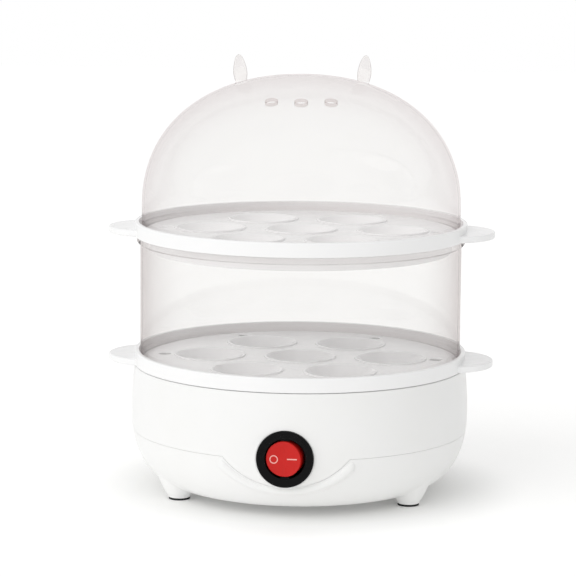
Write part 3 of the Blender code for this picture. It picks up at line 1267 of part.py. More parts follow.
def build_dome_lid():
    """Build the clear domed lid with its foot flare, hollow ears and steam vents."""
    flare_top = LID_BOTTOM + FOOT_FLARE_HEIGHT
    outside = dome_profile() + [(DOME_RADIUS, flare_top + FOOT_FLARE_BLEND), (FLARE_RADIUS, flare_top),
                                (FLARE_RADIUS, LID_BOTTOM), (0.0, LID_BOTTOM)]
    lid = make_piece("dome_lid", turned(outside), CLEAR_PLASTIC)
    ears = [(ear_solid(), ear_place(side)) for side in (-1, 1)]
    boolean(lid, "UNION", "ears", gather(ears))
    inside = dome_profile(CLEAR_WALL)
    inside += [(DOME_RADIUS - CLEAR_WALL, LID_BOTTOM - CUT_OVERRUN), (0.0, LID_BOTTOM - CUT_OVERRUN)]
    boolean(lid, "DIFFERENCE", "hollow", turned(inside))
    hollows = [(ear_solid(EAR_WALL, CLEAR_WALL * 2), ear_place(side)) for side in (-1, 1)]
    boolean(lid, "DIFFERENCE", "ear hollows", gather(hollows))
    vents = []
    for angle in VENT_ANGLES:
        direction = angle + LID_TURN - math.pi / 2
        surface = LID_SPRING + dome_height(VENT_CIRCLE)
        vent = rod(VENT_RADIUS, surface - CUT_OVERRUN, surface + CUT_OVERRUN, VENT_STEPS)
        vents.append((vent, polar(VENT_CIRCLE, direction)))
    boolean(lid, "DIFFERENCE", "steam vents", gather(vents))


def main():
    """Build every piece of the egg boiler."""
    clear_scene()
    build_upper_housing()
    build_lower_housing()
    build_feet_hardware()
    build_cord_grommet()
    build_heating_plate()
    build_earth_tag()
    build_heat_spreader()
    build_heating_element()
    build_thermostat()
    build_thermal_fuse()
    build_terminal_block()
    build_leads()
    build_switch_body()
    build_rocker()
    build_contact_arm()
    build_tray("lower_tray", LOWER_TRAY_BASE)
    build_clear_ring()
    build_tray("upper_tray", UPPER_TRAY_BASE)
    build_dome_lid()


main()
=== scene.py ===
"""Looks of a two-tier countertop egg boiler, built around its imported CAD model.

The pieces that the eye meets are modelled again at a fine resolution in millimetres, finished,
and brought to metres where the CAD model has them. The parts inside the closed base keep their
CAD shapes and get the material that the real ones are made of.
"""
import logging
import math
from dataclasses import dataclass
from enum import Enum
from typing import Any, Callable, Iterable, Mapping, Sequence

import bmesh
import bpy
from bmesh.types import BMesh
from mathutils import Matrix, Vector


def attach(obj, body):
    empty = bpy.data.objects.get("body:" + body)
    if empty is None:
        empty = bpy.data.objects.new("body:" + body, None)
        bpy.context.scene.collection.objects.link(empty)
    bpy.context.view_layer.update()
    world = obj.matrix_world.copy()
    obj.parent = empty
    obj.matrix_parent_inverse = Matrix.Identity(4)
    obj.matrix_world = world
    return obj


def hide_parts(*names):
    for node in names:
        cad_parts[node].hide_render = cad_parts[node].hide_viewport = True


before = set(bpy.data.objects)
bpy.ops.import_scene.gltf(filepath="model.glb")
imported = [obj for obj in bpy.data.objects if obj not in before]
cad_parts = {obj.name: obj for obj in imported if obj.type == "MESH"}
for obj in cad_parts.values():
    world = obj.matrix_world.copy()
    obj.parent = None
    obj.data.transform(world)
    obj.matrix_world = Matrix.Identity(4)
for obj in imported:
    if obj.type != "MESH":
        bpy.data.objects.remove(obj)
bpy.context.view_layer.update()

LOG = logging.getLogger("egg_boiler")

# Sizes are written in millimetres and brought to metres when a piece is finished
MM = 0.001
GAP = 0.3
SEAM = 0.12
OVERRUN = 6.0
WELD = 0.0005
ROUND_STEPS = 176
SMALL_STEPS = 40
CORNER_STEPS = 5
CURVE_STEPS = 26
SEAM_STEPS = 290
SWEEP_RESOLUTION = 8
STEP_SHARE = 0.37
SMOOTH_ANGLE = math.radians(32)
SIDES = (-1.0, 1.0)

# The dish's weld studs, which also pass through the deck of the housing
STUD_CIRCLE = 63.7
STUD_ANGLES = (0.0, -120.0, 120.0)

# A corner of a section: its radius, its height and the length that its rounding takes from each side
Corner = tuple[float, float, float]


class Cut(Enum):
    """How a tool shape acts on the workpiece."""

    JOIN = "UNION"
    TAKE = "DIFFERENCE"


class Grain(Enum):
    """How the lines that a tool left on a metal run."""

    RINGS = "rings"
    STRAIGHT = "straight"
    NONE = "none"


# Shapes
def at(x: float = 0.0, y: float = 0.0, z: float = 0.0) -> Matrix:
    """Return a matrix that moves a shape."""
    return Matrix.Translation(Vector((x, y, z)))


def polar(radius: float, angle: float, z: float = 0.0) -> Matrix:
    """Return a matrix that moves a shape out along an angle, in degrees, without turning it."""
    turn = math.radians(angle)
    return at(radius * math.cos(turn), radius * math.sin(turn), z)


def turn_about(axis: str, angle: float) -> Matrix:
    """Return a matrix that turns a shape about an axis by an angle in degrees."""
    return Matrix.Rotation(math.radians(angle), 4, axis)


def moved(bm: BMesh, matrix: Matrix) -> BMesh:
    """Move a shape and return it."""
    bmesh.ops.transform(bm, matrix=matrix, verts=bm.verts)
    return bm


def together(shapes: Iterable[BMesh]) -> BMesh:
    """Gather separate shapes into one.

    Args:
        shapes: the shapes, which are used up.

    Returns:
        One bmesh that holds them all.
    """
    whole = bmesh.new()
    for shape in shapes:
        carrier = bpy.data.meshes.new("carrier")
        shape.to_mesh(carrier)
        shape.free()
        whole.from_mesh(carrier)
        bpy.data.meshes.remove(carrier)
    return whole


def turned(corners: Sequence[Corner], steps: int = ROUND_STEPS, ring: bool = False) -> BMesh:
    """Spin a section about the upright axis.

    A flat end becomes one whole face. The steps of shapes that are not as fine as the large ones
    start a share of a step off the x axis, so that no corner of theirs meets a large one's edge.

    Args:
        corners: each corner's radius, height and the length that its rounding takes from each side.
        steps: how many sides the round shape has.
        ring: True for a closed section clear of the axis. Any other starts and ends on the axis.

    Returns:
        A closed shape.
    """
    bm = bmesh.new()
    verts = [bm.verts.new((radius, 0.0, height)) for radius, height, _ in corners]
    bm.faces.new(verts)
    for size in sorted({corner[2] for corner in corners if corner[2]}):
        chosen = [vert for vert, corner in zip(verts, corners) if corner[2] == size]
        bmesh.ops.bevel(bm, geom=chosen, offset=size, offset_type="OFFSET", segments=CORNER_STEPS,
                        profile=0.5, affect="VERTICES", material=-1)
    bmesh.ops.delete(bm, geom=bm.faces[:], context="FACES_ONLY")
    if not ring:
        axis = [edge for edge in bm.edges if all(vert.co.x < WELD for vert in edge.verts)]
        bmesh.ops.delete(bm, geom=axis, context="EDGES")
    if steps != ROUND_STEPS:
        moved(bm, Matrix.Rotation(STEP_SHARE * math.tau / steps, 4, "Z"))
    bmesh.ops.spin(bm, geom=bm.verts[:] + bm.edges[:], cent=(0.0, 0.0, 0.0), axis=(0.0, 0.0, 1.0),
                   angle=math.tau, steps=steps, use_merge=True)
    bmesh.ops.remove_doubles(bm, verts=bm.verts, dist=WELD)
    hubs = [vert for vert in bm.verts if vert.co.xy.length < WELD
            and all(abs(edge.other_vert(vert).co.z - vert.co.z) < WELD for edge in vert.link_edges)]
    bmesh.ops.dissolve_verts(bm, verts=hubs)
    bmesh.ops.recalc_face_normals(bm, faces=bm.faces)
    return bm


def rod(radius: float, low: float, high: float, steps: int = SMALL_STEPS) -> BMesh:
    """Return an upright round bar between two heights."""
    return turned([(0.0, low, 0.0), (radius, low, 0.0), (radius, high, 0.0), (0.0, high, 0.0)], steps)


def extruded(outline: Sequence[tuple[float, float]], low: float, high: float) -> BMesh:
    """Extrude an outline from one height to another.

    Args:
        outline: the outline's (x, y) points in order.
        low: the lower height.
        high: the upper height.

    Returns:
        A closed shape.
    """
    bm = bmesh.new()
    face = bm.faces.new([bm.verts.new((x, y, low)) for x, y in outline])
    made = bmesh.ops.extrude_face_region(bm, geom=[face])
    top = [item for item in made["geom"] if isinstance(item, bmesh.types.BMVert)]
    bmesh.ops.translate(bm, verts=top, vec=(0.0, 0.0, high - low))
    bmesh.ops.recalc_face_normals(bm, faces=bm.faces)
    return bm


def block(x_size: float, y_size: float, low: float, high: float) -> BMesh:
    """Return a box centred on the upright axis between two heights."""
    x, y = x_size / 2, y_size / 2
    return extruded([(-x, -y), (x, -y), (x, y), (-x, y)], low, high)


def swept(points: Sequence[Vector], radii: Sequence[float]) -> BMesh:
    """Sweep a round section along a route.

    Args:
        points: the route.
        radii: the section's radius at each point.

    Returns:
        A closed tube.
    """
    curve = bpy.data.curves.new("route", "CURVE")
    curve.dimensions = "3D"
    curve.bevel_depth = 1.0
    curve.bevel_resolution = SWEEP_RESOLUTION
    curve.use_fill_caps = True
    spline = curve.splines.new("POLY")
    spline.points.add(len(points) - 1)
    for knot, point, radius in zip(spline.points, points, radii):
        knot.co = (*point, 1.0)
        knot.radius = radius
    carrier = bpy.data.objects.new("route", curve)
    mesh = bpy.data.meshes.new_from_object(carrier)
    bm = bmesh.new()
    bm.from_mesh(mesh)
    bmesh.ops.remove_doubles(bm, verts=bm.verts, dist=WELD)
    bmesh.ops.recalc_face_normals(bm, faces=bm.faces)
    bpy.data.objects.remove(carrier)
    bpy.data.meshes.remove(mesh)
    bpy.data.curves.remove(curve)
    return bm


class Workpiece:
    """A shape on the bench, which tool shapes are joined to or taken from."""

    def __init__(self, bm: BMesh) -> None:
        """Start from a closed shape, which is used up."""
        self.bm = bm

    def apply(self, how: Cut, tool: BMesh) -> None:
        """Join a tool shape to the workpiece, or take it out.

        Args:
            how: which of the two.
            tool: a closed shape, which is used up.
        """
        body, other = self._carrier(self.bm), self._carrier(tool)
        modifier = body.modifiers.new("tool", "BOOLEAN")
        modifier.operation = how.value
        modifier.object = other
        modifier.solver = "EXACT"
        seen = body.evaluated_get(bpy.context.evaluated_depsgraph_get())
        self.bm = bmesh.new()
        self.bm.from_mesh(seen.to_mesh())
        seen.to_mesh_clear()
        for carrier in (body, other):
            mesh = carrier.data
            bpy.data.objects.remove(carrier)
            bpy.data.meshes.remove(mesh)

    @staticmethod
    def _carrier(bm: BMesh) -> bpy.types.Object:
        """Put a shape on an object for the length of one cut.

        Args:
            bm: the shape, which is used up.

        Returns:
            The object, linked to the scene.
        """
        mesh = bpy.data.meshes.new("carrier")
        bm.to_mesh(mesh)
        bm.free()
        carrier = bpy.data.objects.new("carrier", mesh)
        bpy.context.scene.collection.objects.link(carrier)
        return carrier


# Materials
def linear(colour: str) -> tuple[float, float, float, float]:
    """Turn an sRGB hex colour to a linear one.

    Args:
        colour: six hex digits after a #.

    Returns:
        Red, green, blue and an alpha of 1.
    """
    shares = [int(colour[index:index + 2], 16) / 255 for index in (1, 3, 5)]
    red, green, blue = (
        share / 12.92 if share <= 0.04045 else ((share + 0.055) / 1.055) ** 2.4 for share in shares)
    return (red, green, blue, 1.0)


def add_node(tree: bpy.types.NodeTree, kind: str, settings: Mapping[str, Any] | None = None,
             inputs: Mapping[str | int, Any] | None = None) -> bpy.types.Node:
    """Add a node with its settings and its inputs.

    Args:
        tree: the node tree.
        kind: the node's type.
        settings: its own properties.
        inputs: a value, or the socket of another node, for each input by name or number.

    Returns:
        The new node.
    """
    node = tree.nodes.new(kind)
    for name, value in (settings or {}).items():
        setattr(node, name, value)
    for key, value in (inputs or {}).items():
        if isinstance(value, bpy.types.NodeSocket):
            tree.links.new(value, node.inputs[key])
        else:
            node.inputs[key].default_value = value
    return node


def per_metre(size: float) -> float:
    """Return the texture scale at which a pattern repeats about every size millimetres."""
    return 1.0 / (size * MM)


def wave_scale(size: float) -> float:
    """Return a wave texture's scale for lines that size apart, as it turns 20 radians per unit."""
    return per_metre(size) * math.tau / 20.0


@dataclass(frozen=True)
class Finish:
    """What a surface is made of and how it was made."""

    title: str
    colour: str
    shade: str
    roughness: tuple[float, float] = (0.25, 0.35)
    patch: float = 30.0
    pimple: float = 0.9
    pimple_height: float = 0.004

    def material(self) -> bpy.types.Material:
        """Look the finish's material up, or make it on its first use.

        Returns:
            The material.
        """
        found = bpy.data.materials.get(self.title)
        if found:
            return found
        made = bpy.data.materials.new(self.title)
        made.use_nodes = True
        tree = made.node_tree
        tree.nodes.clear()
        place = add_node(tree, "ShaderNodeTexCoord").outputs["Object"]
        shader = self.dress(tree, place)
        add_node(tree, "ShaderNodeOutputMaterial", inputs={"Surface": shader})
        return made

    def dress(self, tree: bpy.types.NodeTree, place: bpy.types.NodeSocket) -> bpy.types.NodeSocket:
        """Add the finish's nodes.

        Args:
            tree: the material's node tree.
            place: the socket with the object coordinates.

        Returns:
            The shader's socket.
        """
        shader = add_node(tree, "ShaderNodeBsdfPrincipled", inputs={
            "Base Color": self.mottle(tree, place),
            "Roughness": self.gloss(tree, place),
            "Normal": self.skin(tree, place),
            **self.constants(),
        })
        return shader.outputs["BSDF"]

    def constants(self) -> dict[str, Any]:
        """Return what the shader's own sockets are set to."""
        return {}

    def mottle(self, tree: bpy.types.NodeTree, place: bpy.types.NodeSocket) -> bpy.types.NodeSocket:
        """Let the colour drift between the finish's two in wide soft patches.

        Args:
            tree: the material's node tree.
            place: the socket with the object coordinates.

        Returns:
            The colour's socket.
        """
        cloud = add_node(tree, "ShaderNodeTexNoise", inputs={
            "Vector": place, "Scale": per_metre(self.patch), "Detail": 3.0, "Roughness": 0.55})
        mix = add_node(tree, "ShaderNodeMix", {"data_type": "RGBA"}, {
            0: cloud.outputs["Fac"], 6: linear(self.colour), 7: linear(self.shade)})
        return mix.outputs[2]

    def gloss(self, tree: bpy.types.NodeTree, place: bpy.types.NodeSocket) -> bpy.types.NodeSocket:
        """Let the roughness vary a little from place to place.

        Args:
            tree: the material's node tree.
            place: the socket with the object coordinates.

        Returns:
            The roughness's socket.
        """
        cloud = add_node(tree, "ShaderNodeTexNoise", inputs={
            "Vector": place, "Scale": per_metre(self.patch / 4), "Detail": 2.0})
        spread = add_node(tree, "ShaderNodeMapRange", inputs={
            "Value": cloud.outputs["Fac"], "From Min": 0.3, "From Max": 0.7,
            "To Min": self.roughness[0], "To Max": self.roughness[1]})
        return spread.outputs["Result"]

    def skin(self, tree: bpy.types.NodeTree, place: bpy.types.NodeSocket) -> bpy.types.NodeSocket:
        """Give the surface the fine unevenness that its tool left.

        Args:
            tree: the material's node tree.
            place: the socket with the object coordinates.

        Returns:
            The normal's socket.
        """
        grain = add_node(tree, "ShaderNodeTexNoise", inputs={
            "Vector": place, "Scale": per_metre(self.pimple), "Detail": 1.0})
        bump = add_node(tree, "ShaderNodeBump", inputs={
            "Height": grain.outputs["Fac"], "Strength": 1.0, "Distance": self.pimple_height * MM})
        return bump.outputs["Normal"]


@dataclass(frozen=True)
class Plastic(Finish):
    """Moulded plastic or rubber, whose surface copies its mould."""

    index: float = 1.49
    shine: float = 0.5
    depth: float = 0.0

    def constants(self) -> dict[str, Any]:
        """Return the refractive index, the strength of the shine and how far light sinks in."""
        return {"IOR": self.index, "Specular IOR Level": self.shine, "Subsurface Weight": self.depth,
                "Subsurface Radius": (1.0, 0.9, 0.8), "Subsurface Scale": MM}


@dataclass(frozen=True)
class ClearPlastic(Finish):
    """Clear moulded plastic. It is greyer where the eye looks along the wall than through it.

    A thin even wall hardly bends the view, so the body has a low refractive index. The smoky
    tinge grows from one share of obliqueness to another and stays there. The outer shine is a
    share of gloss that grows towards the edge and stops at a ceiling.
    """

    bend: float = 1.006
    shine_index: float = 1.50
    shine_ceiling: float = 0.12
    shine_roughness: float = 0.04
    oblique: tuple[float, float] = (0.25, 0.92)
    haze: tuple[float, float] = (0.92, 1.08)
    lamp_tint: str = "#FDFCFC"

    def dress(self, tree: bpy.types.NodeTree, place: bpy.types.NodeSocket) -> bpy.types.NodeSocket:
        """Add a see-through shader that lets the light of lamps and of pale surfaces pass straight.

        Args:
            tree: the material's node tree.
            place: the socket with the object coordinates.

        Returns:
            The shader's socket.
        """
        facing = add_node(tree, "ShaderNodeLayerWeight", inputs={"Blend": 0.5})
        steep = add_node(tree, "ShaderNodeMapRange", {"interpolation_type": "SMOOTHSTEP"}, {
            "Value": facing.outputs["Facing"], "From Min": self.oblique[0], "From Max": self.oblique[1]})
        cloud = add_node(tree, "ShaderNodeTexNoise", inputs={
            "Vector": place, "Scale": per_metre(self.patch), "Detail": 2.0})
        haze = add_node(tree, "ShaderNodeMapRange", inputs={
            "Value": cloud.outputs["Fac"], "To Min": self.haze[0], "To Max": self.haze[1]})
        along = add_node(tree, "ShaderNodeMath", {"operation": "MULTIPLY", "use_clamp": True}, {
            0: steep.outputs["Result"], 1: haze.outputs["Result"]})
        tint = add_node(tree, "ShaderNodeMix", {"data_type": "RGBA"}, {
            0: along.outputs["Value"], 6: linear(self.colour), 7: linear(self.shade)})
        normal = self.skin(tree, place)
        body = add_node(tree, "ShaderNodeBsdfPrincipled", inputs={
            "Base Color": tint.outputs[2], "Roughness": self.gloss(tree, place), "IOR": self.bend,
            "Transmission Weight": 1.0, "Normal": normal})
        gloss = add_node(tree, "ShaderNodeBsdfAnisotropic", inputs={
            "Color": linear("#FFFFFF"), "Roughness": self.shine_roughness, "Normal": normal})
        fresnel = add_node(tree, "ShaderNodeFresnel", inputs={"IOR": self.shine_index, "Normal": normal})
        share = add_node(tree, "ShaderNodeMath", {"operation": "MINIMUM"}, {
            0: fresnel.outputs["Fac"], 1: self.shine_ceiling})
        wall = add_node(tree, "ShaderNodeMixShader", inputs={
            0: share.outputs["Value"], 1: body.outputs["BSDF"], 2: gloss.outputs["BSDF"]})
        clear = add_node(tree, "ShaderNodeBsdfTransparent", inputs={"Color": linear(self.lamp_tint)})
        ray = add_node(tree, "ShaderNodeLightPath")
        straight = add_node(tree, "ShaderNodeMath", {"operation": "ADD", "use_clamp": True}, {
            0: ray.outputs["Is Shadow Ray"], 1: ray.outputs["Is Diffuse Ray"]})
        both = add_node(tree, "ShaderNodeMixShader", inputs={
            0: straight.outputs["Value"], 1: wall.outputs["Shader"], 2: clear.outputs["BSDF"]})
        return both.outputs["Shader"]


@dataclass(frozen=True)
class Metal(Finish):
    """Metal with the lines of its last working, rings about the upright axis or straight ones."""

    grain: Grain = Grain.NONE
    line: float = 0.8
    line_height: float = 0.003

    def constants(self) -> dict[str, Any]:
        """Return what makes the shader a metal."""
        return {"Metallic": 1.0}

    def skin(self, tree: bpy.types.NodeTree, place: bpy.types.NodeSocket) -> bpy.types.NodeSocket:
        """Give the metal the lines of its tool, or the fine pits of a casting.

        Args:
            tree: the material's node tree.
            place: the socket with the object coordinates.

        Returns:
            The normal's socket.
        """
        if self.grain is Grain.NONE:
            return super().skin(tree, place)
        rings = self.grain is Grain.RINGS
        settings = {"wave_type": "RINGS" if rings else "BANDS", "rings_direction": "Z",
                    "bands_direction": "X", "wave_profile": "SIN"}
        lines = add_node(tree, "ShaderNodeTexWave", settings, {
            "Vector": place, "Scale": wave_scale(self.line), "Distortion": 1.2,
            "Detail": 3.0, "Detail Scale": 2.0})
        bump = add_node(tree, "ShaderNodeBump", inputs={
            "Height": lines.outputs["Fac"], "Strength": 1.0, "Distance": self.line_height * MM})
        return bump.outputs["Normal"]


@dataclass(frozen=True)
class Striped(Plastic):
    """Two-colour lead insulation, with bands across the lead."""

    band: float = 3.0

    def mottle(self, tree: bpy.types.NodeTree, place: bpy.types.NodeSocket) -> bpy.types.NodeSocket:
        """Band one colour with the other.

        Args:
            tree: the material's node tree.
            place: the socket with the object coordinates.

        Returns:
            The colour's socket.
        """
        wave = add_node(tree, "ShaderNodeTexWave", {"bands_direction": "DIAGONAL"}, {
            "Vector": place, "Scale": wave_scale(self.band)})
        edge = add_node(tree, "ShaderNodeMapRange", inputs={
            "Value": wave.outputs["Fac"], "From Min": 0.6, "From Max": 0.68})
        mix = add_node(tree, "ShaderNodeMix", {"data_type": "RGBA"}, {
            0: edge.outputs["Result"], 6: linear(self.colour), 7: linear(self.shade)})
        return mix.outputs[2]


# Injection-moulded polypropylene: an even white with a soft shine and a hardly visible orange peel
WHITE_PP = Plastic("white polypropylene, gloss moulded", "#F3F3F3", "#EFEFED", (0.29, 0.36),
                   patch=34.0, pimple=1.8, pimple_height=0.0010)
# The trays come from a finer tool, so they shine a little more and their white is colder
# Their white is also a touch brighter than the base's: painted light, making up for the dimmer light inside
# the clear parts
TRAY_PP = Plastic("white polypropylene, tray", "#F6F6F6", "#F2F2F2", (0.18, 0.25),
                  patch=26.0, pimple=1.5, pimple_height=0.0008)
# Clear styrene, moulded: a smoky tinge that gathers where the wall is seen edge on
CLEAR_OUTSIDE = ClearPlastic("clear styrene, moulded", "#F5F4F3", "#DFD9D9", (0.01, 0.03),
                             patch=45.0, pimple=6.0, pimple_height=0.010)
# The ring's wall is upright all round, so more of the tinge gathers at its two sides
CLEAR_RING = ClearPlastic("clear styrene, ring", "#F5F4F3", "#CAC3C2", (0.01, 0.03),
                          patch=45.0, pimple=6.0, pimple_height=0.010)
# The inner face of the same walls: the tinge was counted on the outer one, so it stays clean
CLEAR_INSIDE = ClearPlastic("clear styrene, inner face", "#FFFFFF", "#FEFEFE", (0.01, 0.03),
                            patch=45.0, pimple=6.0, pimple_height=0.010, bend=1.002, shine_ceiling=0.045)
# Lips, flares and ears: the eye looks into the depth of the plastic, so they are greyer
# On the ring's lip under the tray band this grey also stands for the shadow of the gap above it: painted
# shade
CLEAR_EDGE = ClearPlastic("clear styrene, thick edge", "#F1EEED", "#A69F9E", (0.03, 0.06),
                          patch=9.0, pimple=1.5, pimple_height=0.003, oblique=(0.40, 0.95))
# The walls of the vents, moulded round small pins: short and dull. Their greyish pink, far darker than the
# clear wall, is painted shade in the holes
CLEAR_VENT = ClearPlastic("clear styrene, vent wall", "#CFC4C3", "#B0A7A6", (0.10, 0.18),
                          patch=9.0, pimple=1.5, pimple_height=0.004)
# Gloss black polyamide: a deep black with a faint even shine
BLACK_PA = Plastic("black polyamide, gloss moulded", "#070708", "#0B0B0C", (0.17, 0.25),
                   patch=9.0, pimple=0.7, pimple_height=0.0012, index=1.53, shine=0.09)
# Red polycarbonate of the rocker: saturated, with a little light sinking in
RED_PC = Plastic("red polycarbonate, moulded", "#CB1E19", "#BE1814", (0.29, 0.35),
                 patch=6.0, pimple=0.6, pimple_height=0.0012, index=1.58, shine=0.2, depth=0.05)
# Pad-printed marks: a pale ink that lets a little of the red through
MARK_INK = Plastic("pale printing ink", "#F3BDB6", "#EAA9A1", (0.40, 0.50), patch=1.5,
                   pimple=0.3, pimple_height=0.0010)
# Natural rubber pads and the grommet: matt, dusty black with a fine grain
RUBBER = Plastic("black rubber, matt moulded", "#262627", "#1C1C1D", (0.62, 0.78), patch=5.0,
                 pimple=0.35, pimple_height=0.012, index=1.52, shine=0.3)
# Silicone seal: milky, soft shine
SILICONE = Plastic("translucent silicone", "#D9D5CC", "#CBC6BB", (0.42, 0.55), patch=8.0,
                   pimple=0.8, pimple_height=0.004, index=1.41, shine=0.4, depth=0.2)
# Unfilled nylon of the terminal block: off-white, waxy
NYLON = Plastic("natural nylon, moulded", "#DEDACB", "#D2CDBB", (0.38, 0.50), patch=7.0,
                pimple=0.6, pimple_height=0.003, index=1.53, depth=0.1)
# Compression-moulded phenolic of the thermostat: near black with brown flow marks
PHENOLIC = Plastic("black phenolic, compression moulded", "#1B1816", "#2A211B", (0.35, 0.50),
                   patch=3.0, pimple=0.3, pimple_height=0.004, index=1.60)
# Extruded PVC insulation: an even colour with a dull shine
BROWN_PVC = Plastic("brown PVC insulation", "#6F4A31", "#654129", (0.40, 0.50), patch=6.0,
                    pimple=0.5, pimple_height=0.003)
BLUE_PVC = Plastic("blue PVC insulation", "#2F5FA8", "#2A5699", (0.40, 0.50), patch=6.0,
                   pimple=0.5, pimple_height=0.003)
EARTH_PVC = Striped("green and yellow PVC insulation", "#3F8F46", "#D9C63A", (0.40, 0.50),
                    pimple=0.5, pimple_height=0.003)
# Braided glass sleeve of the fuse: cream, dry, with a coarse thread
GLASS_BRAID = Plastic("braided glass sleeve", "#E3DBC6", "#CFC5AC", (0.65, 0.80), patch=2.0,
                      pimple=0.5, pimple_height=0.040)
# Deep-drawn stainless sheet of the water dish, lapped in rings that catch the light as a fan. The
# real lines are too fine to see, so they are drawn as coarse as they need to show
DISH_STEEL = Metal("stainless steel, drawn and lapped", "#CFCECB", "#C3C1BD", (0.17, 0.26),
                   patch=22.0, grain=Grain.RINGS, line=0.7, line_height=0.0022)
# Annealed steel tube of the element: grey with a straw-coloured tinge of heat
TUBE_STEEL = Metal("annealed steel tube", "#A9A399", "#8F877B", (0.34, 0.48), patch=9.0,
                   pimple=0.4, pimple_height=0.003)
# Spring steel: clean and bright
SPRING_STEEL = Metal("spring steel wire", "#C4C5C6", "#B3B4B5", (0.20, 0.26), patch=2.0,
                     pimple=0.2, pimple_height=0.001)
# Bright zinc plate on screws, nuts and brackets: bluish, with fine crystals
ZINC = Metal("zinc-plated steel", "#BFC3C6", "#ABAFB1", (0.28, 0.42), patch=2.5,
             pimple=0.25, pimple_height=0.003)
# Die-cast aluminium spreader: dull silver, pitted
ALUMINIUM = Metal("cast aluminium", "#C8C9CB", "#B5B6B8", (0.38, 0.52), patch=6.0,
                  pimple=0.5, pimple_height=0.010)
# Stamped brass of the contacts: warm yellow with faint rolling lines, drawn coarser than they are
BRASS = Metal("rolled brass", "#CFAF63", "#BD9C52", (0.29, 0.38), patch=4.0,
              grain=Grain.STRAIGHT, line=0.3, line_height=0.001)


class SubAssembly:
    """A group of pieces that are made and dressed together."""

    def add_piece(self, name: str, bm: BMesh, finish: Finish, body: str, slot: str | None,
                  stands_for: Sequence[str] = ()) -> bpy.types.Object:
        """Finish a shape and hang it on its body.

        Args:
            name: the piece's name.
            bm: its closed shape in millimetres, which is used up.
            finish: what it is made of.
            body: the CAD body that it moves with.
            slot: the record's material slot, or None; not used.
            stands_for: the CAD nodes that it replaces.

        Returns:
            The finished object.
        """
        moved(bm, Matrix.Scale(MM, 4))
        mesh = bpy.data.meshes.new(name)
        bm.to_mesh(mesh)
        bm.free()
        mesh.shade_smooth()
        mesh.set_sharp_from_angle(angle=SMOOTH_ANGLE)
        piece = bpy.data.objects.new(name, mesh)
        bpy.context.scene.collection.objects.link(piece)
        weighted = piece.modifiers.new("flat faces stay flat", "WEIGHTED_NORMAL")
        weighted.keep_sharp = True
        mesh.materials.append(finish.material())
        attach(piece, body)
        if stands_for:
            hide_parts(*stands_for)
        LOG.info("%s: %d faces, %s, rides on %s", name, len(mesh.polygons), finish.title, body)
        return piece

    @staticmethod
    def dress_faces(piece: bpy.types.Object, finish: Finish,
                    chosen: Callable[[Vector, Vector], bool]) -> None:
        """Give some faces of a piece another finish.

        Args:
            piece: the finished piece.
            finish: what those faces look like.
            chosen: whether a face is one of them, by its centre in millimetres and its normal.
        """
        slot = len(piece.data.materials)
        piece.data.materials.append(finish.material())
        picked = [face for face in piece.data.polygons if chosen(face.center / MM, face.normal)]
        for face in picked:
            face.material_index = slot
        LOG.info("%s: %d of its faces are %s", piece.name, len(picked), finish.title)


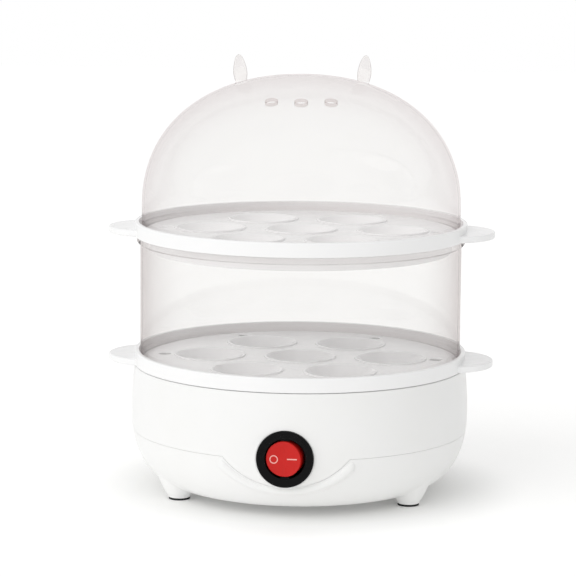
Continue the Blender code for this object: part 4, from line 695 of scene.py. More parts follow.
@dataclass
class BaseHousing(SubAssembly):
    """The two white shells of the base, their feet pads and the grommet at the back."""

    band_radius: float = 84.0
    belly_radius: float = 85.5
    floor_radius: float = 62.0
    floor_height: float = 4.6
    belly_height: float = 43.0
    belt_height: float = 32.2
    rim_height: float = 64.6
    drop_power: float = 2.6
    round_power: float = 1.8
    wall: float = 2.2
    rim_inner: float = 81.9
    deck_top: float = 56.8
    deck_wall: float = 2.0
    ledge_top: float = 52.8
    ledge_radius: float = 61.0
    well_radius: float = 70.3
    chin_low: float = 15.2
    smile_radius: float = 41.8
    smile_centre: float = 58.1
    seam_radius: float = 40.3
    seam_split: float = 35.0
    ridge_proud: float = 1.6
    ridge_sink: float = 0.05
    ridge_middle: float = 1.9
    ridge_end: float = 3.0
    ridge_tip: float = 3.2
    ridge_swell_power: float = 1.6
    ridge_slim_share: float = 0.6
    ridge_steps: int = 200
    lip_outer: float = 82.5
    lip_wall: float = 1.2
    lip_top: float = 35.2
    lip_root: float = 4.0
    foot_circle: float = 66.5
    foot_angles: tuple[float, ...] = (-150.0, -30.0, 90.0)
    sole_corners: tuple[tuple[float, float], ...] = ((4.7, 0.85), (5.3, 1.05), (5.65, 1.5))
    ankle_radius: float = 5.8
    ankle_height: float = 2.3
    foot_top: float = 16.2
    foot_spread: float = 6.4
    foot_spread_power: float = 0.75
    foot_root: float = 1.2
    foot_root_power: float = 5.0
    foot_steps: int = 18
    screw_bore: float = 1.8
    well_bore: float = 3.0
    well_top: float = 8.4
    screw_reach: float = 20.0
    boss_radius: float = 4.5
    boss_sink: float = 1.1
    boss_top: float = 14.0
    post_radius: float = 4.0
    post_low: float = 14.3
    post_bore_low: float = 8.3
    post_bore_top: float = 26.3
    stud_bore_low: float = 44.8
    stud_bore_top: float = 58.8
    drain_count: int = 6
    drain_circle: float = 22.0
    drain_length: float = 16.0
    drain_width: float = 2.4
    drain_low: float = -1.4
    drain_top: float = 12.8
    drain_round: float = 1.1
    pad_radius: float = 5.3
    pad_height: float = 0.8
    plug_radius: float = 2.7
    plug_top: float = 4.8
    groove_radii: tuple[float, ...] = (1.9, 3.7)
    groove: float = 0.3
    inlet_height: float = 42.0
    inlet_bore: float = 5.0
    cord_bore: float = 3.4
    grommet_neck: float = 4.7
    grommet_snap: float = 5.9
    snap_length: float = 1.4
    grommet_flange: float = 6.8
    flange_length: float = 1.6
    nose_radius: float = 5.0
    nose_length: float = 3.2
    foot_sides: int = 72
    pad_sides: int = 64
    grommet_sides: int = 72

    def bowl_radius(self, height: float, inset: float = 0.0) -> float:
        """Work out the bowl's radius at a height, or that of a surface set in from it.

        Args:
            height: the height above the ground.
            inset: how far the surface lies inside the bowl's own.

        Returns:
            The radius.
        """
        drop = (self.belly_height - height) / (self.belly_height - self.floor_height - inset)
        share = (1.0 - min(max(drop, 0.0), 1.0) ** self.drop_power) ** (1.0 / self.round_power)
        return self.floor_radius - inset + (self.belly_radius - self.floor_radius) * share

    def wall_radius(self, height: float, inset: float = 0.0) -> float:
        """Work out the wall's radius at any height up to the rim, less an inset.

        Args:
            height: the height above the ground.
            inset: how far the surface lies inside the wall's own.

        Returns:
            The radius.
        """
        if height <= self.belly_height:
            return self.bowl_radius(height, inset)
        rise = (height - self.belly_height) / (self.rim_height - self.belly_height)
        return self.belly_radius - (self.belly_radius - self.band_radius) * rise ** 2 - inset

    def bowl_section(self, low: float, high: float, inset: float = 0.0) -> list[Corner]:
        """Draw the bowl's section between two heights, its corners closest together near the floor.

        Args:
            low: the lower height.
            high: the upper height.
            inset: how far the surface lies inside the bowl's own.

        Returns:
            The section's corners, from the bottom up.
        """
        heights = [low + (high - low) * (1.0 - math.cos(index / CURVE_STEPS * math.pi / 2))
                   for index in range(CURVE_STEPS + 1)]
        return [(self.bowl_radius(height, inset), height, 0.0) for height in heights]

    def at_feet(self, shape: Callable[[], BMesh]) -> BMesh:
        """Return a shape at each foot, all in one."""
        return together(moved(shape(), polar(self.foot_circle, angle)) for angle in self.foot_angles)

    def across_front(self, radius: float, near: float, far: float) -> BMesh:
        """Return a bar about the smile's centre that lies from back to front between two depths."""
        bar = rod(radius, near, far, SEAM_STEPS)
        return moved(bar, at(0.0, 0.0, self.smile_centre) @ turn_about("X", 90.0))

    def build(self) -> None:
        """Build and dress every piece of the housing."""
        self.build_upper_shell()
        self.build_lower_shell()
        self.build_pads()
        self.build_grommet()

    def upper_section(self) -> list[Corner]:
        """Draw the upper shell's section: wall, rim, deck, well and ledge.

        Returns:
            The corners of a closed section.
        """
        steps = CURVE_STEPS // 2
        heights = [self.belly_height + (self.rim_height - self.belly_height) * index / steps
                   for index in range(1, steps)]
        roof = self.deck_top - self.deck_wall
        web = self.well_radius + self.deck_wall
        section = self.bowl_section(self.chin_low, self.belly_height)
        section += [(self.wall_radius(height), height, 0.0) for height in heights]
        section += [
            (self.band_radius, self.rim_height, 0.6),
            (self.rim_inner, self.rim_height, 0.3),
            (self.rim_inner, self.deck_top, 0.5),
            (self.well_radius, self.deck_top, 0.3),
            (self.well_radius, self.ledge_top, 0.2),
            (self.ledge_radius, self.ledge_top, 0.3),
            (self.ledge_radius, self.ledge_top - self.deck_wall, 0.3),
            (web, self.ledge_top - self.deck_wall, 0.0),
            (web, roof, 0.0),
            (self.wall_radius(roof, self.wall), roof, 0.0),
        ]
        return section + self.bowl_section(self.chin_low, self.belly_height, self.wall)[::-1]

    def build_upper_shell(self) -> None:
        """Build the wall with its rim, deck and ledge, and the chin round the switch."""
        shell = Workpiece(turned(self.upper_section(), ring=True))
        switch = RockerSwitch()
        shell.apply(Cut.JOIN, switch.boss())

        reach = self.belly_radius + OVERRUN
        below = Workpiece(rod(reach, -OVERRUN, self.belt_height + SEAM / 2, ROUND_STEPS))
        below.apply(Cut.TAKE, self.across_front(
            self.seam_radius - SEAM / 2, self.seam_split, reach + OVERRUN))
        shell.apply(Cut.TAKE, below.bm)
        shell.apply(Cut.JOIN, self.at_feet(
            lambda: rod(self.post_radius, self.post_low, self.ledge_top - self.deck_wall / 2)))

        inlet = at(0.0, self.belly_radius, self.inlet_height) @ turn_about("X", 90.0)
        cuts = [switch.panel_hole(), moved(rod(self.inlet_bore, -OVERRUN, OVERRUN), inlet)]
        for angle in STUD_ANGLES:
            bore = rod(self.screw_bore, self.stud_bore_low, self.stud_bore_top)
            cuts.append(moved(bore, polar(STUD_CIRCLE, angle)))
        cuts.append(self.at_feet(lambda: rod(self.screw_bore, self.post_bore_low, self.post_bore_top)))
        shell.apply(Cut.TAKE, together(cuts))
        self.add_piece("base_upper_shell", shell.bm, WHITE_PP, "base", "white_plastic", ["upper_housing"])

    def smile_ridge(self) -> BMesh:
        """Shape the raised crescent under the smile, fuller at its ends and sunk in the bowl.

        Returns:
            A closed tube that tapers to a tip at either end.
        """
        spread = math.acos((self.smile_centre - self.belt_height + self.ridge_tip / 2) / self.smile_radius)
        points, radii = [], []
        for index in range(self.ridge_steps + 1):
            share = 2.0 * index / self.ridge_steps - 1.0
            angle = share * spread
            left = min((spread - abs(angle)) * self.smile_radius / self.ridge_tip, 1.0)
            growth = math.sin(left * math.pi / 2)
            proud = self.ridge_proud * growth - self.ridge_sink
            swell = abs(share) ** self.ridge_swell_power
            radius = self.ridge_middle + (self.ridge_end - self.ridge_middle) * swell
            radius *= self.ridge_slim_share + (1.0 - self.ridge_slim_share) * growth
            offset = self.seam_radius + SEAM + math.sqrt(max((radius * 2 - proud) * proud, 0.0))
            x, z = offset * math.sin(angle), self.smile_centre - offset * math.cos(angle)
            depth = self.bowl_radius(z) - radius + proud
            points.append(Vector((x, -math.sqrt(depth ** 2 - x ** 2), z)))
            radii.append(radius)
        return swept(points, radii)

    def foot(self) -> BMesh:
        """Shape one bell-shaped foot, from its sole up into the bowl.

        Returns:
            A closed shape about the upright axis.
        """
        section = [(0.0, self.sole_corners[0][1], 0.0)]
        section += [(radius, height, 0.0) for radius, height in self.sole_corners]
        for index in range(self.foot_steps + 1):
            share = index / self.foot_steps
            spread = self.foot_spread * share ** self.foot_spread_power
            root = self.foot_root * share ** self.foot_root_power
            height = self.ankle_height + (self.foot_top - self.ankle_height) * share
            section.append((self.ankle_radius + spread + root, height, 0.0))
        section.append((0.0, self.foot_top, 0.0))
        return turned(section, self.foot_sides)

    def drain_slot(self) -> BMesh:
        """Shape the cutter of one drain slot, with rounded ends.

        Returns:
            A closed shape, long side along the x axis.
        """
        slot = block(self.drain_length, self.drain_width, self.drain_low, self.drain_top)
        ends = [edge for edge in slot.edges if abs(edge.verts[0].co.z - edge.verts[1].co.z) > WELD]
        bmesh.ops.bevel(slot, geom=ends, offset=self.drain_round, offset_type="OFFSET", segments=6,
                        profile=0.5, affect="EDGES", material=-1)
        return slot

    def build_lower_shell(self) -> None:
        """Build the bowl with its feet, the smile's ridge, screw bosses and drain slots."""
        lower_top = self.belt_height - SEAM / 2
        section = [(0.0, self.floor_height, 0.0), *self.bowl_section(self.floor_height, lower_top)]
        section += [(self.lip_outer, lower_top, 0.0), (self.lip_outer, self.lip_top, 0.2),
                    (0.0, self.lip_top, 0.0)]
        shell = Workpiece(turned(section))
        shell.apply(Cut.JOIN, self.at_feet(self.foot))
        shell.apply(Cut.JOIN, self.smile_ridge())

        inner_floor = self.floor_height + self.wall
        root = lower_top - self.lip_root
        lip_inner = self.lip_outer - self.lip_wall
        hollow = [(0.0, inner_floor, 0.0), *self.bowl_section(inner_floor, root, self.wall)]
        hollow += [(lip_inner, root + self.lip_wall, 0.0), (lip_inner, self.lip_top + OVERRUN, 0.0),
                   (0.0, self.lip_top + OVERRUN, 0.0)]
        shell.apply(Cut.TAKE, turned(hollow))
        shell.apply(Cut.JOIN, self.at_feet(
            lambda: rod(self.boss_radius, inner_floor - self.boss_sink, self.boss_top)))

        stepped = [
            (0.0, -OVERRUN, 0.0),
            (self.well_bore, -OVERRUN, 0.0),
            (self.well_bore, self.well_top, 0.0),
            (self.screw_bore, self.well_top, 0.0),
            (self.screw_bore, self.screw_reach, 0.0),
            (0.0, self.screw_reach, 0.0),
        ]
        cuts = [self.at_feet(lambda: turned(stepped, SMALL_STEPS))]
        for index in range(self.drain_count):
            angle = 360.0 / self.drain_count * (index + 0.5)
            cuts.append(moved(self.drain_slot(), polar(self.drain_circle, angle) @ turn_about("Z", angle)))
        shell.apply(Cut.TAKE, together(cuts))
        shell.apply(Cut.TAKE, self.across_front(
            self.seam_radius + SEAM / 2, self.seam_split + OVERRUN, self.belly_radius + OVERRUN))
        self.add_piece("base_lower_shell", shell.bm, WHITE_PP, "base", "white_plastic", ["lower_housing"])

    def build_pads(self) -> None:
        """Build the rubber pads, each with two grooves in its sole."""
        section = [(0.0, 0.0, 0.0)]
        for radius in self.groove_radii:
            section += [(radius - self.groove, 0.0, 0.1), (radius, self.groove, 0.0),
                        (radius + self.groove, 0.0, 0.1)]
        section += [(self.pad_radius, 0.0, 0.2), (self.pad_radius, self.pad_height, 0.2),
                    (self.plug_radius, self.pad_height, 0.0), (self.plug_radius, self.plug_top, 0.4),
                    (0.0, self.plug_top, 0.0)]
        for number, angle in enumerate(self.foot_angles, 1):
            pad = moved(turned(section, self.pad_sides), polar(self.foot_circle, angle))
            self.add_piece(f"sole_pad_{number}", pad, RUBBER, "base", "dark_rubber", [f"foot_pad_{number}"])

    def build_grommet(self) -> None:
        """Build the grommet snapped into the back wall, where the cord would pass."""
        seat = self.wall_radius(self.inlet_height) + GAP
        reach = self.wall_radius(self.inlet_height, self.wall)
        inner = math.sqrt(reach ** 2 - self.grommet_snap ** 2) - GAP * 2
        section = [
            (self.cord_bore, inner - self.snap_length, 0.3),
            (self.grommet_snap, inner - self.snap_length, 0.5),
            (self.grommet_snap, inner, 0.0),
            (self.grommet_neck, inner, 0.0),
            (self.grommet_neck, seat, 0.0),
            (self.grommet_flange, seat, 0.2),
            (self.grommet_flange, seat + self.flange_length, 0.6),
            (self.nose_radius, seat + self.flange_length, 0.3),
            (self.nose_radius, seat + self.nose_length, 0.5),
            (self.cord_bore, seat + self.nose_length, 0.3),
        ]
        place = at(0.0, 0.0, self.inlet_height) @ turn_about("X", -90.0)
        grommet = turned(section, self.grommet_sides, ring=True)
        self.add_piece("inlet_grommet", moved(grommet, place), RUBBER, "base", "dark_rubber",
                       ["cord_grommet"])


@dataclass
class RockerSwitch(SubAssembly):
    """The round switch in the front wall, modelled in its own frame, whose height runs outwards."""

    bezel_radius: float = 13.9
    bezel_back: float = 2.2
    bezel_front: float = 4.2
    dish_radius: float = 12.9
    dish_depth: float = 1.1
    opening_radius: float = 10.15
    lip_radius: float = 9.75
    lip_low: float = 1.9
    barrel_radius: float = 12.3
    barrel_back: float = -14.0
    barrel_inside: float = -12.5
    boss_radius: float = 14.8
    boss_back: float = -2.4
    boss_front: float = 2.6
    panel_bore: float = 12.6
    panel_back: float = -8.4
    recess_radius: float = 14.05
    recess_front: float = 8.2
    wing_root: float = 11.7
    wing_tip: float = 13.5
    wing_back: float = -8.7
    wing_front: float = -2.7
    wing_width: float = 6.0
    hood_width: float = 4.4
    hood_depth: float = 1.5
    hood_height: float = 0.7
    hood_out: float = 9.65
    pivot_bore: float = 1.8
    pivot_bore_reach: float = 11.5
    blade_slot_size: tuple[float, float] = (1.4, 6.9)
    blade_slot_low: float = -20.0
    blade_slot_high: float = -12.2
    blade_places: tuple[float, ...] = (0.0, -5.5)
    rocker_radius: float = 8.7
    rocker_top: float = 2.9
    rocker_bottom: float = -4.0
    rocker_round: float = 0.45
    sharp_angle: float = 35.0
    sleeve_radius: float = 2.6
    sleeve_low: float = -6.5
    sleeve_high: float = -2.0
    sleeve_bore: float = 1.5
    sleeve_bore_low: float = -12.5
    pin_radius: float = 1.5
    pin_reach: float = 11.2
    swing: float = 11.0
    slope: float = 7.5
    mark_turn: float = 3.5
    mark_proud: float = 0.05
    mark_sunk: float = 0.25
    mark_round: float = 0.03
    o_inner: float = 1.58
    o_outer: float = 2.05
    o_place: float = -4.85
    dash_length: float = 5.2
    dash_width: float = 0.54
    dash_place: float = 4.3
    centre_out: float = 82.3
    centre_height: float = 32.9
    boss_sides: int = 96
    hole_sides: int = 100
    body_sides: int = 128
    key_sides: int = 96
    mark_sides: int = 64

    def place(self) -> Matrix:
        """Return the matrix that carries the switch's own frame to the front wall."""
        return at(0.0, -self.centre_out, self.centre_height) @ turn_about("X", 90.0)

    def tilted(self) -> Matrix:
        """Return the matrix of the rocker, pressed on its O side."""
        return self.place() @ turn_about("Y", -self.swing)

    def boss(self) -> BMesh:
        """Shape the round pad of the front wall that the switch sits on.

        Returns:
            A closed shape in its place in the wall.
        """
        section = [(0.0, self.boss_back, 0.0), (self.boss_radius, self.boss_back, 0.0),
                   (self.boss_radius, self.boss_front, 0.25), (0.0, self.boss_front, 0.0)]
        return moved(turned(section, self.boss_sides), self.place())

    def panel_hole(self) -> BMesh:
        """Shape the cutter of the hole for the barrel and of the recess for the bezel.

        Returns:
            A closed shape in its place in the wall.
        """
        section = [(0.0, self.panel_back, 0.0), (self.panel_bore, self.panel_back, 0.0),
                   (self.panel_bore, self.bezel_back, 0.0), (self.recess_radius, self.bezel_back, 0.0),
                   (self.recess_radius, self.recess_front, 0.0), (0.0, self.recess_front, 0.0)]
        return moved(turned(section, self.hole_sides), self.place())

    def build(self) -> None:
        """Build and dress the switch body, the rocker and its marks."""
        self.build_body()
        self.build_rocker()
        self.build_marks()

    def build_body(self) -> None:
        """Build the bezel with its dished ring, the barrel, snap wings, pivots and blade slots."""
        section = [
            (0.0, self.barrel_back, 0.0),
            (self.barrel_radius, self.barrel_back, 0.4),
            (self.barrel_radius, self.bezel_back, 0.0),
            (self.bezel_radius, self.bezel_back, 0.2),
            (self.bezel_radius, self.bezel_front, 0.7),
            (self.dish_radius, self.bezel_front, 0.3),
            (self.lip_radius, self.bezel_front - self.dish_depth, 0.3),
            (self.lip_radius, self.lip_low, 0.15),
            (self.opening_radius, self.lip_low, 0.0),
            (self.opening_radius, self.barrel_inside, 0.3),
            (0.0, self.barrel_inside, 0.0),
        ]
        body = Workpiece(turned(section, self.body_sides))
        wings, hoods = [], []
        for side in SIDES:
            outline = [(side * self.wing_root, self.wing_back), (side * self.wing_tip, self.wing_front),
                       (side * self.wing_root, self.wing_front)]
            wing = extruded(outline, -self.wing_width / 2, self.wing_width / 2)
            wings.append(moved(wing, turn_about("X", 90.0)))
            hood = block(self.hood_width, self.hood_depth, self.lip_low, self.lip_low + self.hood_height)
            hoods.append(moved(hood, at(y=side * self.hood_out)))
        body.apply(Cut.JOIN, together(wings + hoods))
        pivots = rod(self.pivot_bore, -self.pivot_bore_reach, self.pivot_bore_reach)
        cuts = [moved(pivots, turn_about("X", 90.0))]
        cuts += [moved(block(*self.blade_slot_size, self.blade_slot_low, self.blade_slot_high), at(x))
                 for x in self.blade_places]
        body.apply(Cut.TAKE, together(cuts))
        self.add_piece("switch_bezel", moved(body.bm, self.place()), BLACK_PA, "base", "black_plastic",
                       ["switch_body"])

    def build_rocker(self) -> None:
        """Build the rocker: a round key whose top is a shallow V with softened edges."""
        key = rod(self.rocker_radius, self.rocker_bottom, self.rocker_top, self.key_sides)
        bmesh.ops.bisect_plane(key, geom=key.verts[:] + key.edges[:] + key.faces[:], dist=WELD,
                               plane_co=(0.0, 0.0, 0.0), plane_no=(1.0, 0.0, 0.0))
        slope = math.tan(math.radians(self.slope))
        hub = [vert for vert in key.verts if vert.co.xy.length < self.rocker_radius / 2
               and vert.co.z > 0.0 and abs(vert.co.x) > WELD]
        bmesh.ops.dissolve_verts(key, verts=hub)
        for vert in key.verts:
            if vert.co.z > self.rocker_top - WELD:
                vert.co.z += abs(vert.co.x) * slope
        bmesh.ops.recalc_face_normals(key, faces=key.faces)
        sharp = math.radians(self.sharp_angle)
        rim = [edge for edge in key.edges if edge.is_manifold and edge.calc_face_angle() > sharp
               and min(vert.co.z for vert in edge.verts) > 0.0]
        bmesh.ops.bevel(key, geom=rim, offset=self.rocker_round, offset_type="OFFSET", segments=4,
                        profile=0.5, affect="EDGES", material=-1)
        rocker = Workpiece(key)
        rocker.apply(Cut.JOIN, rod(self.sleeve_radius, self.sleeve_low, self.sleeve_high))
        pins = rod(self.pin_radius, -self.pin_reach, self.pin_reach)
        rocker.apply(Cut.JOIN, moved(pins, turn_about("X", 90.0)))
        rocker.apply(Cut.TAKE, rod(self.sleeve_bore, self.sleeve_bore_low, 0.0))
        self.add_piece("switch_rocker", moved(rocker.bm, self.tilted()), RED_PC, "rocker", "red_plastic",
                       ["rocker"])

    def build_marks(self) -> None:
        """Build the O and the dash, printed a hair proud on the two flats."""
        section = [
            (self.o_inner, -self.mark_sunk, 0.0),
            (self.o_outer, -self.mark_sunk, 0.0),
            (self.o_outer, self.mark_proud, self.mark_round),
            (self.o_inner, self.mark_proud, self.mark_round),
        ]
        ring = turned(section, self.mark_sides, ring=True)
        dash = block(self.dash_length, self.dash_width, -self.mark_sunk, self.mark_proud)
        marks = (("rocker_mark_o", ring, self.o_place), ("rocker_mark_dash", dash, self.dash_place))
        for name, mark, x in marks:
            flat = turn_about("Y", -math.copysign(self.slope, x))
            height = self.rocker_top + abs(x) * math.tan(math.radians(self.slope))
            place = self.tilted() @ turn_about("Z", self.mark_turn) @ at(x, 0.0, height) @ flat
            self.add_piece(name, moved(mark, place), MARK_INK, "rocker", None)


@dataclass
class WaterDish(SubAssembly):
    """The drawn steel dish that holds the water, with its weld studs."""

    flange_radius: float = 69.4
    flange_top: float = 55.6
    dish_radius: float = 60.0
    floor_top: float = 46.8
    sheet: float = 0.8
    taper: float = 2.2
    stud_radius: float = 1.5
    stud_drop: float = 8.8

    def build(self) -> None:
        """Build and dress the dish."""
        low = self.dish_radius - self.taper
        flange_bottom = self.flange_top - self.sheet
        section = [
            (0.0, self.floor_top, 0.0),
            (low - self.sheet, self.floor_top, 1.2),
            (self.dish_radius - self.sheet, self.flange_top, 1.2),
            (self.flange_radius, self.flange_top, 0.15),
            (self.flange_radius, flange_bottom, 0.15),
            (self.dish_radius, flange_bottom, 0.5),
            (low, self.floor_top - self.sheet, 2.0),
            (0.0, self.floor_top - self.sheet, 0.0),
        ]
        dish = Workpiece(turned(section))
        stud_low, stud_top = flange_bottom - self.stud_drop, flange_bottom + self.sheet / 2
        studs = [moved(rod(self.stud_radius, stud_low, stud_top), polar(STUD_CIRCLE, angle))
                 for angle in STUD_ANGLES]
        dish.apply(Cut.JOIN, together(studs))
        self.add_piece("water_dish", dish.bm, DISH_STEEL, "base", "stainless", ["heating_plate"])


@dataclass
class EggTray(SubAssembly):
    """One egg tray: a rim band with a channel, seven seats, steam holes and two side tabs."""

    node: str
    base: float
    band_radius: float = 84.0
    band_height: float = 7.3
    channel_outer: float = 81.9
    channel_inner: float = 77.6
    channel_floor: float = 1.7
    plateau: float = 2.9
    plateau_wall: float = 1.8
    skirt_radius: float = 76.0
    skirt_wall: float = 1.6
    skirt_drop: float = 7.4
    outer_seats: int = 6
    seat_circle: float = 46.0
    mouth: float = 17.0
    throat: float = 10.0
    bead_width: float = 1.4
    bead_height: float = 0.7
    seat_depth: float = 6.0
    seat_sink: float = 0.4
    hole_count: int = 6
    hole_radius: float = 3.2
    hole_circle: float = 68.8
    hole_flare: float = 0.4
    hole_flare_depth: float = 0.35
    hole_flare_rise: float = 0.05
    hole_overrun: float = 3.0
    tab_radius: float = 24.6
    tab_centre: float = 73.4
    tab_low: float = 0.3
    tab_top: float = 3.7
    seat_sides: int = 80
    tab_sides: int = 128
    hole_sides: int = 48

    def seat(self) -> BMesh:
        """Shape one funnel with its raised bead.

        Returns:
            A closed ring about the upright axis.
        """
        shoulder = self.mouth + self.bead_width
        top = self.plateau + self.bead_height
        low = self.plateau - self.seat_depth
        section = [
            (shoulder, top, 0.5),
            (self.mouth, top, 0.6),
            (self.throat, low, 0.35),
            (self.throat + self.plateau_wall, low, 0.35),
            (shoulder, self.plateau - self.plateau_wall - self.seat_sink, 0.0),
        ]
        return turned(section, self.seat_sides, ring=True)

    def tab(self) -> BMesh:
        """Shape one side tab: a rounded disc trimmed to the rim.

        Returns:
            A closed shape on the right of the tray.
        """
        disc = [(0.0, self.tab_low, 0.0), (self.tab_radius, self.tab_low, 0.8),
                (self.tab_radius, self.tab_top, 0.8), (0.0, self.tab_top, 0.0)]
        tab = Workpiece(moved(turned(disc, self.tab_sides), at(self.tab_centre)))
        root = (self.band_radius + self.channel_outer) / 2
        tab.apply(Cut.TAKE, rod(root, -OVERRUN, OVERRUN + self.band_height, ROUND_STEPS))
        return tab.bm

    def steam_hole(self) -> BMesh:
        """Shape the cutter of one steam hole, wider at its mouth.

        Returns:
            A closed shape about the upright axis.
        """
        low = self.plateau - self.plateau_wall - self.hole_overrun
        high = self.plateau + self.hole_overrun
        wide = self.hole_radius + self.hole_flare
        section = [
            (0.0, low, 0.0),
            (self.hole_radius, low, 0.0),
            (self.hole_radius, self.plateau - self.hole_flare_depth, 0.0),
            (wide, self.plateau + self.hole_flare_rise, 0.0),
            (wide, high, 0.0),
            (0.0, high, 0.0),
        ]
        return turned(section, self.hole_sides)

    def build(self) -> None:
        """Build and dress the tray."""
        low = self.plateau - self.plateau_wall
        skirt = self.skirt_radius - self.skirt_wall
        section = [
            (0.0, self.plateau, 0.0),
            (self.channel_inner, self.plateau, 0.6),
            (self.channel_inner, self.channel_floor, 0.25),
            (self.channel_outer, self.channel_floor, 0.3),
            (self.channel_outer, self.band_height, 0.3),
            (self.band_radius, self.band_height, 0.6),
            (self.band_radius, 0.0, 0.3),
            (self.skirt_radius, 0.0, 0.4),
            (self.skirt_radius, -self.skirt_drop, 0.4),
            (skirt, -self.skirt_drop, 0.4),
            (skirt, low, 0.5),
            (0.0, low, 0.0),
        ]
        tray = Workpiece(turned(section))
        places = [at()]
        places += [polar(self.seat_circle, 360.0 / self.outer_seats * index)
                   for index in range(self.outer_seats)]
        bore = self.mouth + self.bead_width / 2
        cuts = [moved(rod(bore, low - OVERRUN, self.plateau + OVERRUN, self.seat_sides), place)
                for place in places]
        cuts += [moved(self.steam_hole(), polar(self.hole_circle, 360.0 / self.hole_count * index))
                 for index in range(self.hole_count)]
        tray.apply(Cut.TAKE, together(cuts))
        tray.apply(Cut.JOIN, together(moved(self.seat(), place) for place in places))
        tray.apply(Cut.JOIN, together(moved(self.tab(), turn_about("Z", angle)) for angle in (0.0, 180.0)))
        self.add_piece(f"{self.node}_moulding", moved(tray.bm, at(z=self.base)), TRAY_PP, self.node,
                       "white_plastic", [self.node])


@dataclass
class ClearRing(SubAssembly):
    """The clear ring between the tiers, with its foot flare and top lip."""

    bottom: float = 66.9
    top: float = 130.0
    flare_radius: float = 81.6
    radius: float = 81.2
    wall: float = 1.6
    flare_height: float = 1.6
    flare_blend: float = 1.4
    lip_radius: float = 82.9
    lip_height: float = 2.6
    lip_blend: float = 1.0
    inward_share: float = 0.5

    def build(self) -> None:
        """Build and dress the ring."""
        lip_low = self.top - self.lip_height
        inside = self.radius - self.wall
        section = [
            (self.flare_radius, self.bottom, 0.3),
            (self.flare_radius, self.bottom + self.flare_height, 0.3),
            (self.radius, self.bottom + self.flare_height + self.flare_blend, 0.6),
            (self.radius, lip_low - self.lip_blend, 0.5),
            (self.lip_radius, lip_low, 0.5),
            (self.lip_radius, self.top, 0.6),
            (inside, self.top, 0.5),
            (inside, self.bottom, 0.3),
        ]
        ring = self.add_piece("clear_ring_wall", turned(section, ring=True), CLEAR_RING, "clear_ring",
                              "clear_plastic", ["clear_ring"])
        # The lip's grey edge finish partly stands for the shadow of the gap under the tray band: painted
        # shade
        self.dress_faces(ring, CLEAR_EDGE, self.is_edge)
        self.dress_faces(ring, CLEAR_INSIDE, self.is_inside)

    def is_edge(self, centre: Vector, _: Vector) -> bool:
        """Tell whether a face is in the foot flare or in the lip.

        Args:
            centre: the face's centre in millimetres.

        Returns:
            True for such a face.
        """
        foot = self.bottom + self.flare_height + self.flare_blend
        return not foot < centre.z < self.top - self.lip_height - self.lip_blend

    def is_inside(self, centre: Vector, normal: Vector) -> bool:
        """Tell whether a face looks towards the axis."""
        return normal.xy.dot(centre.xy.normalized()) < -self.inward_share


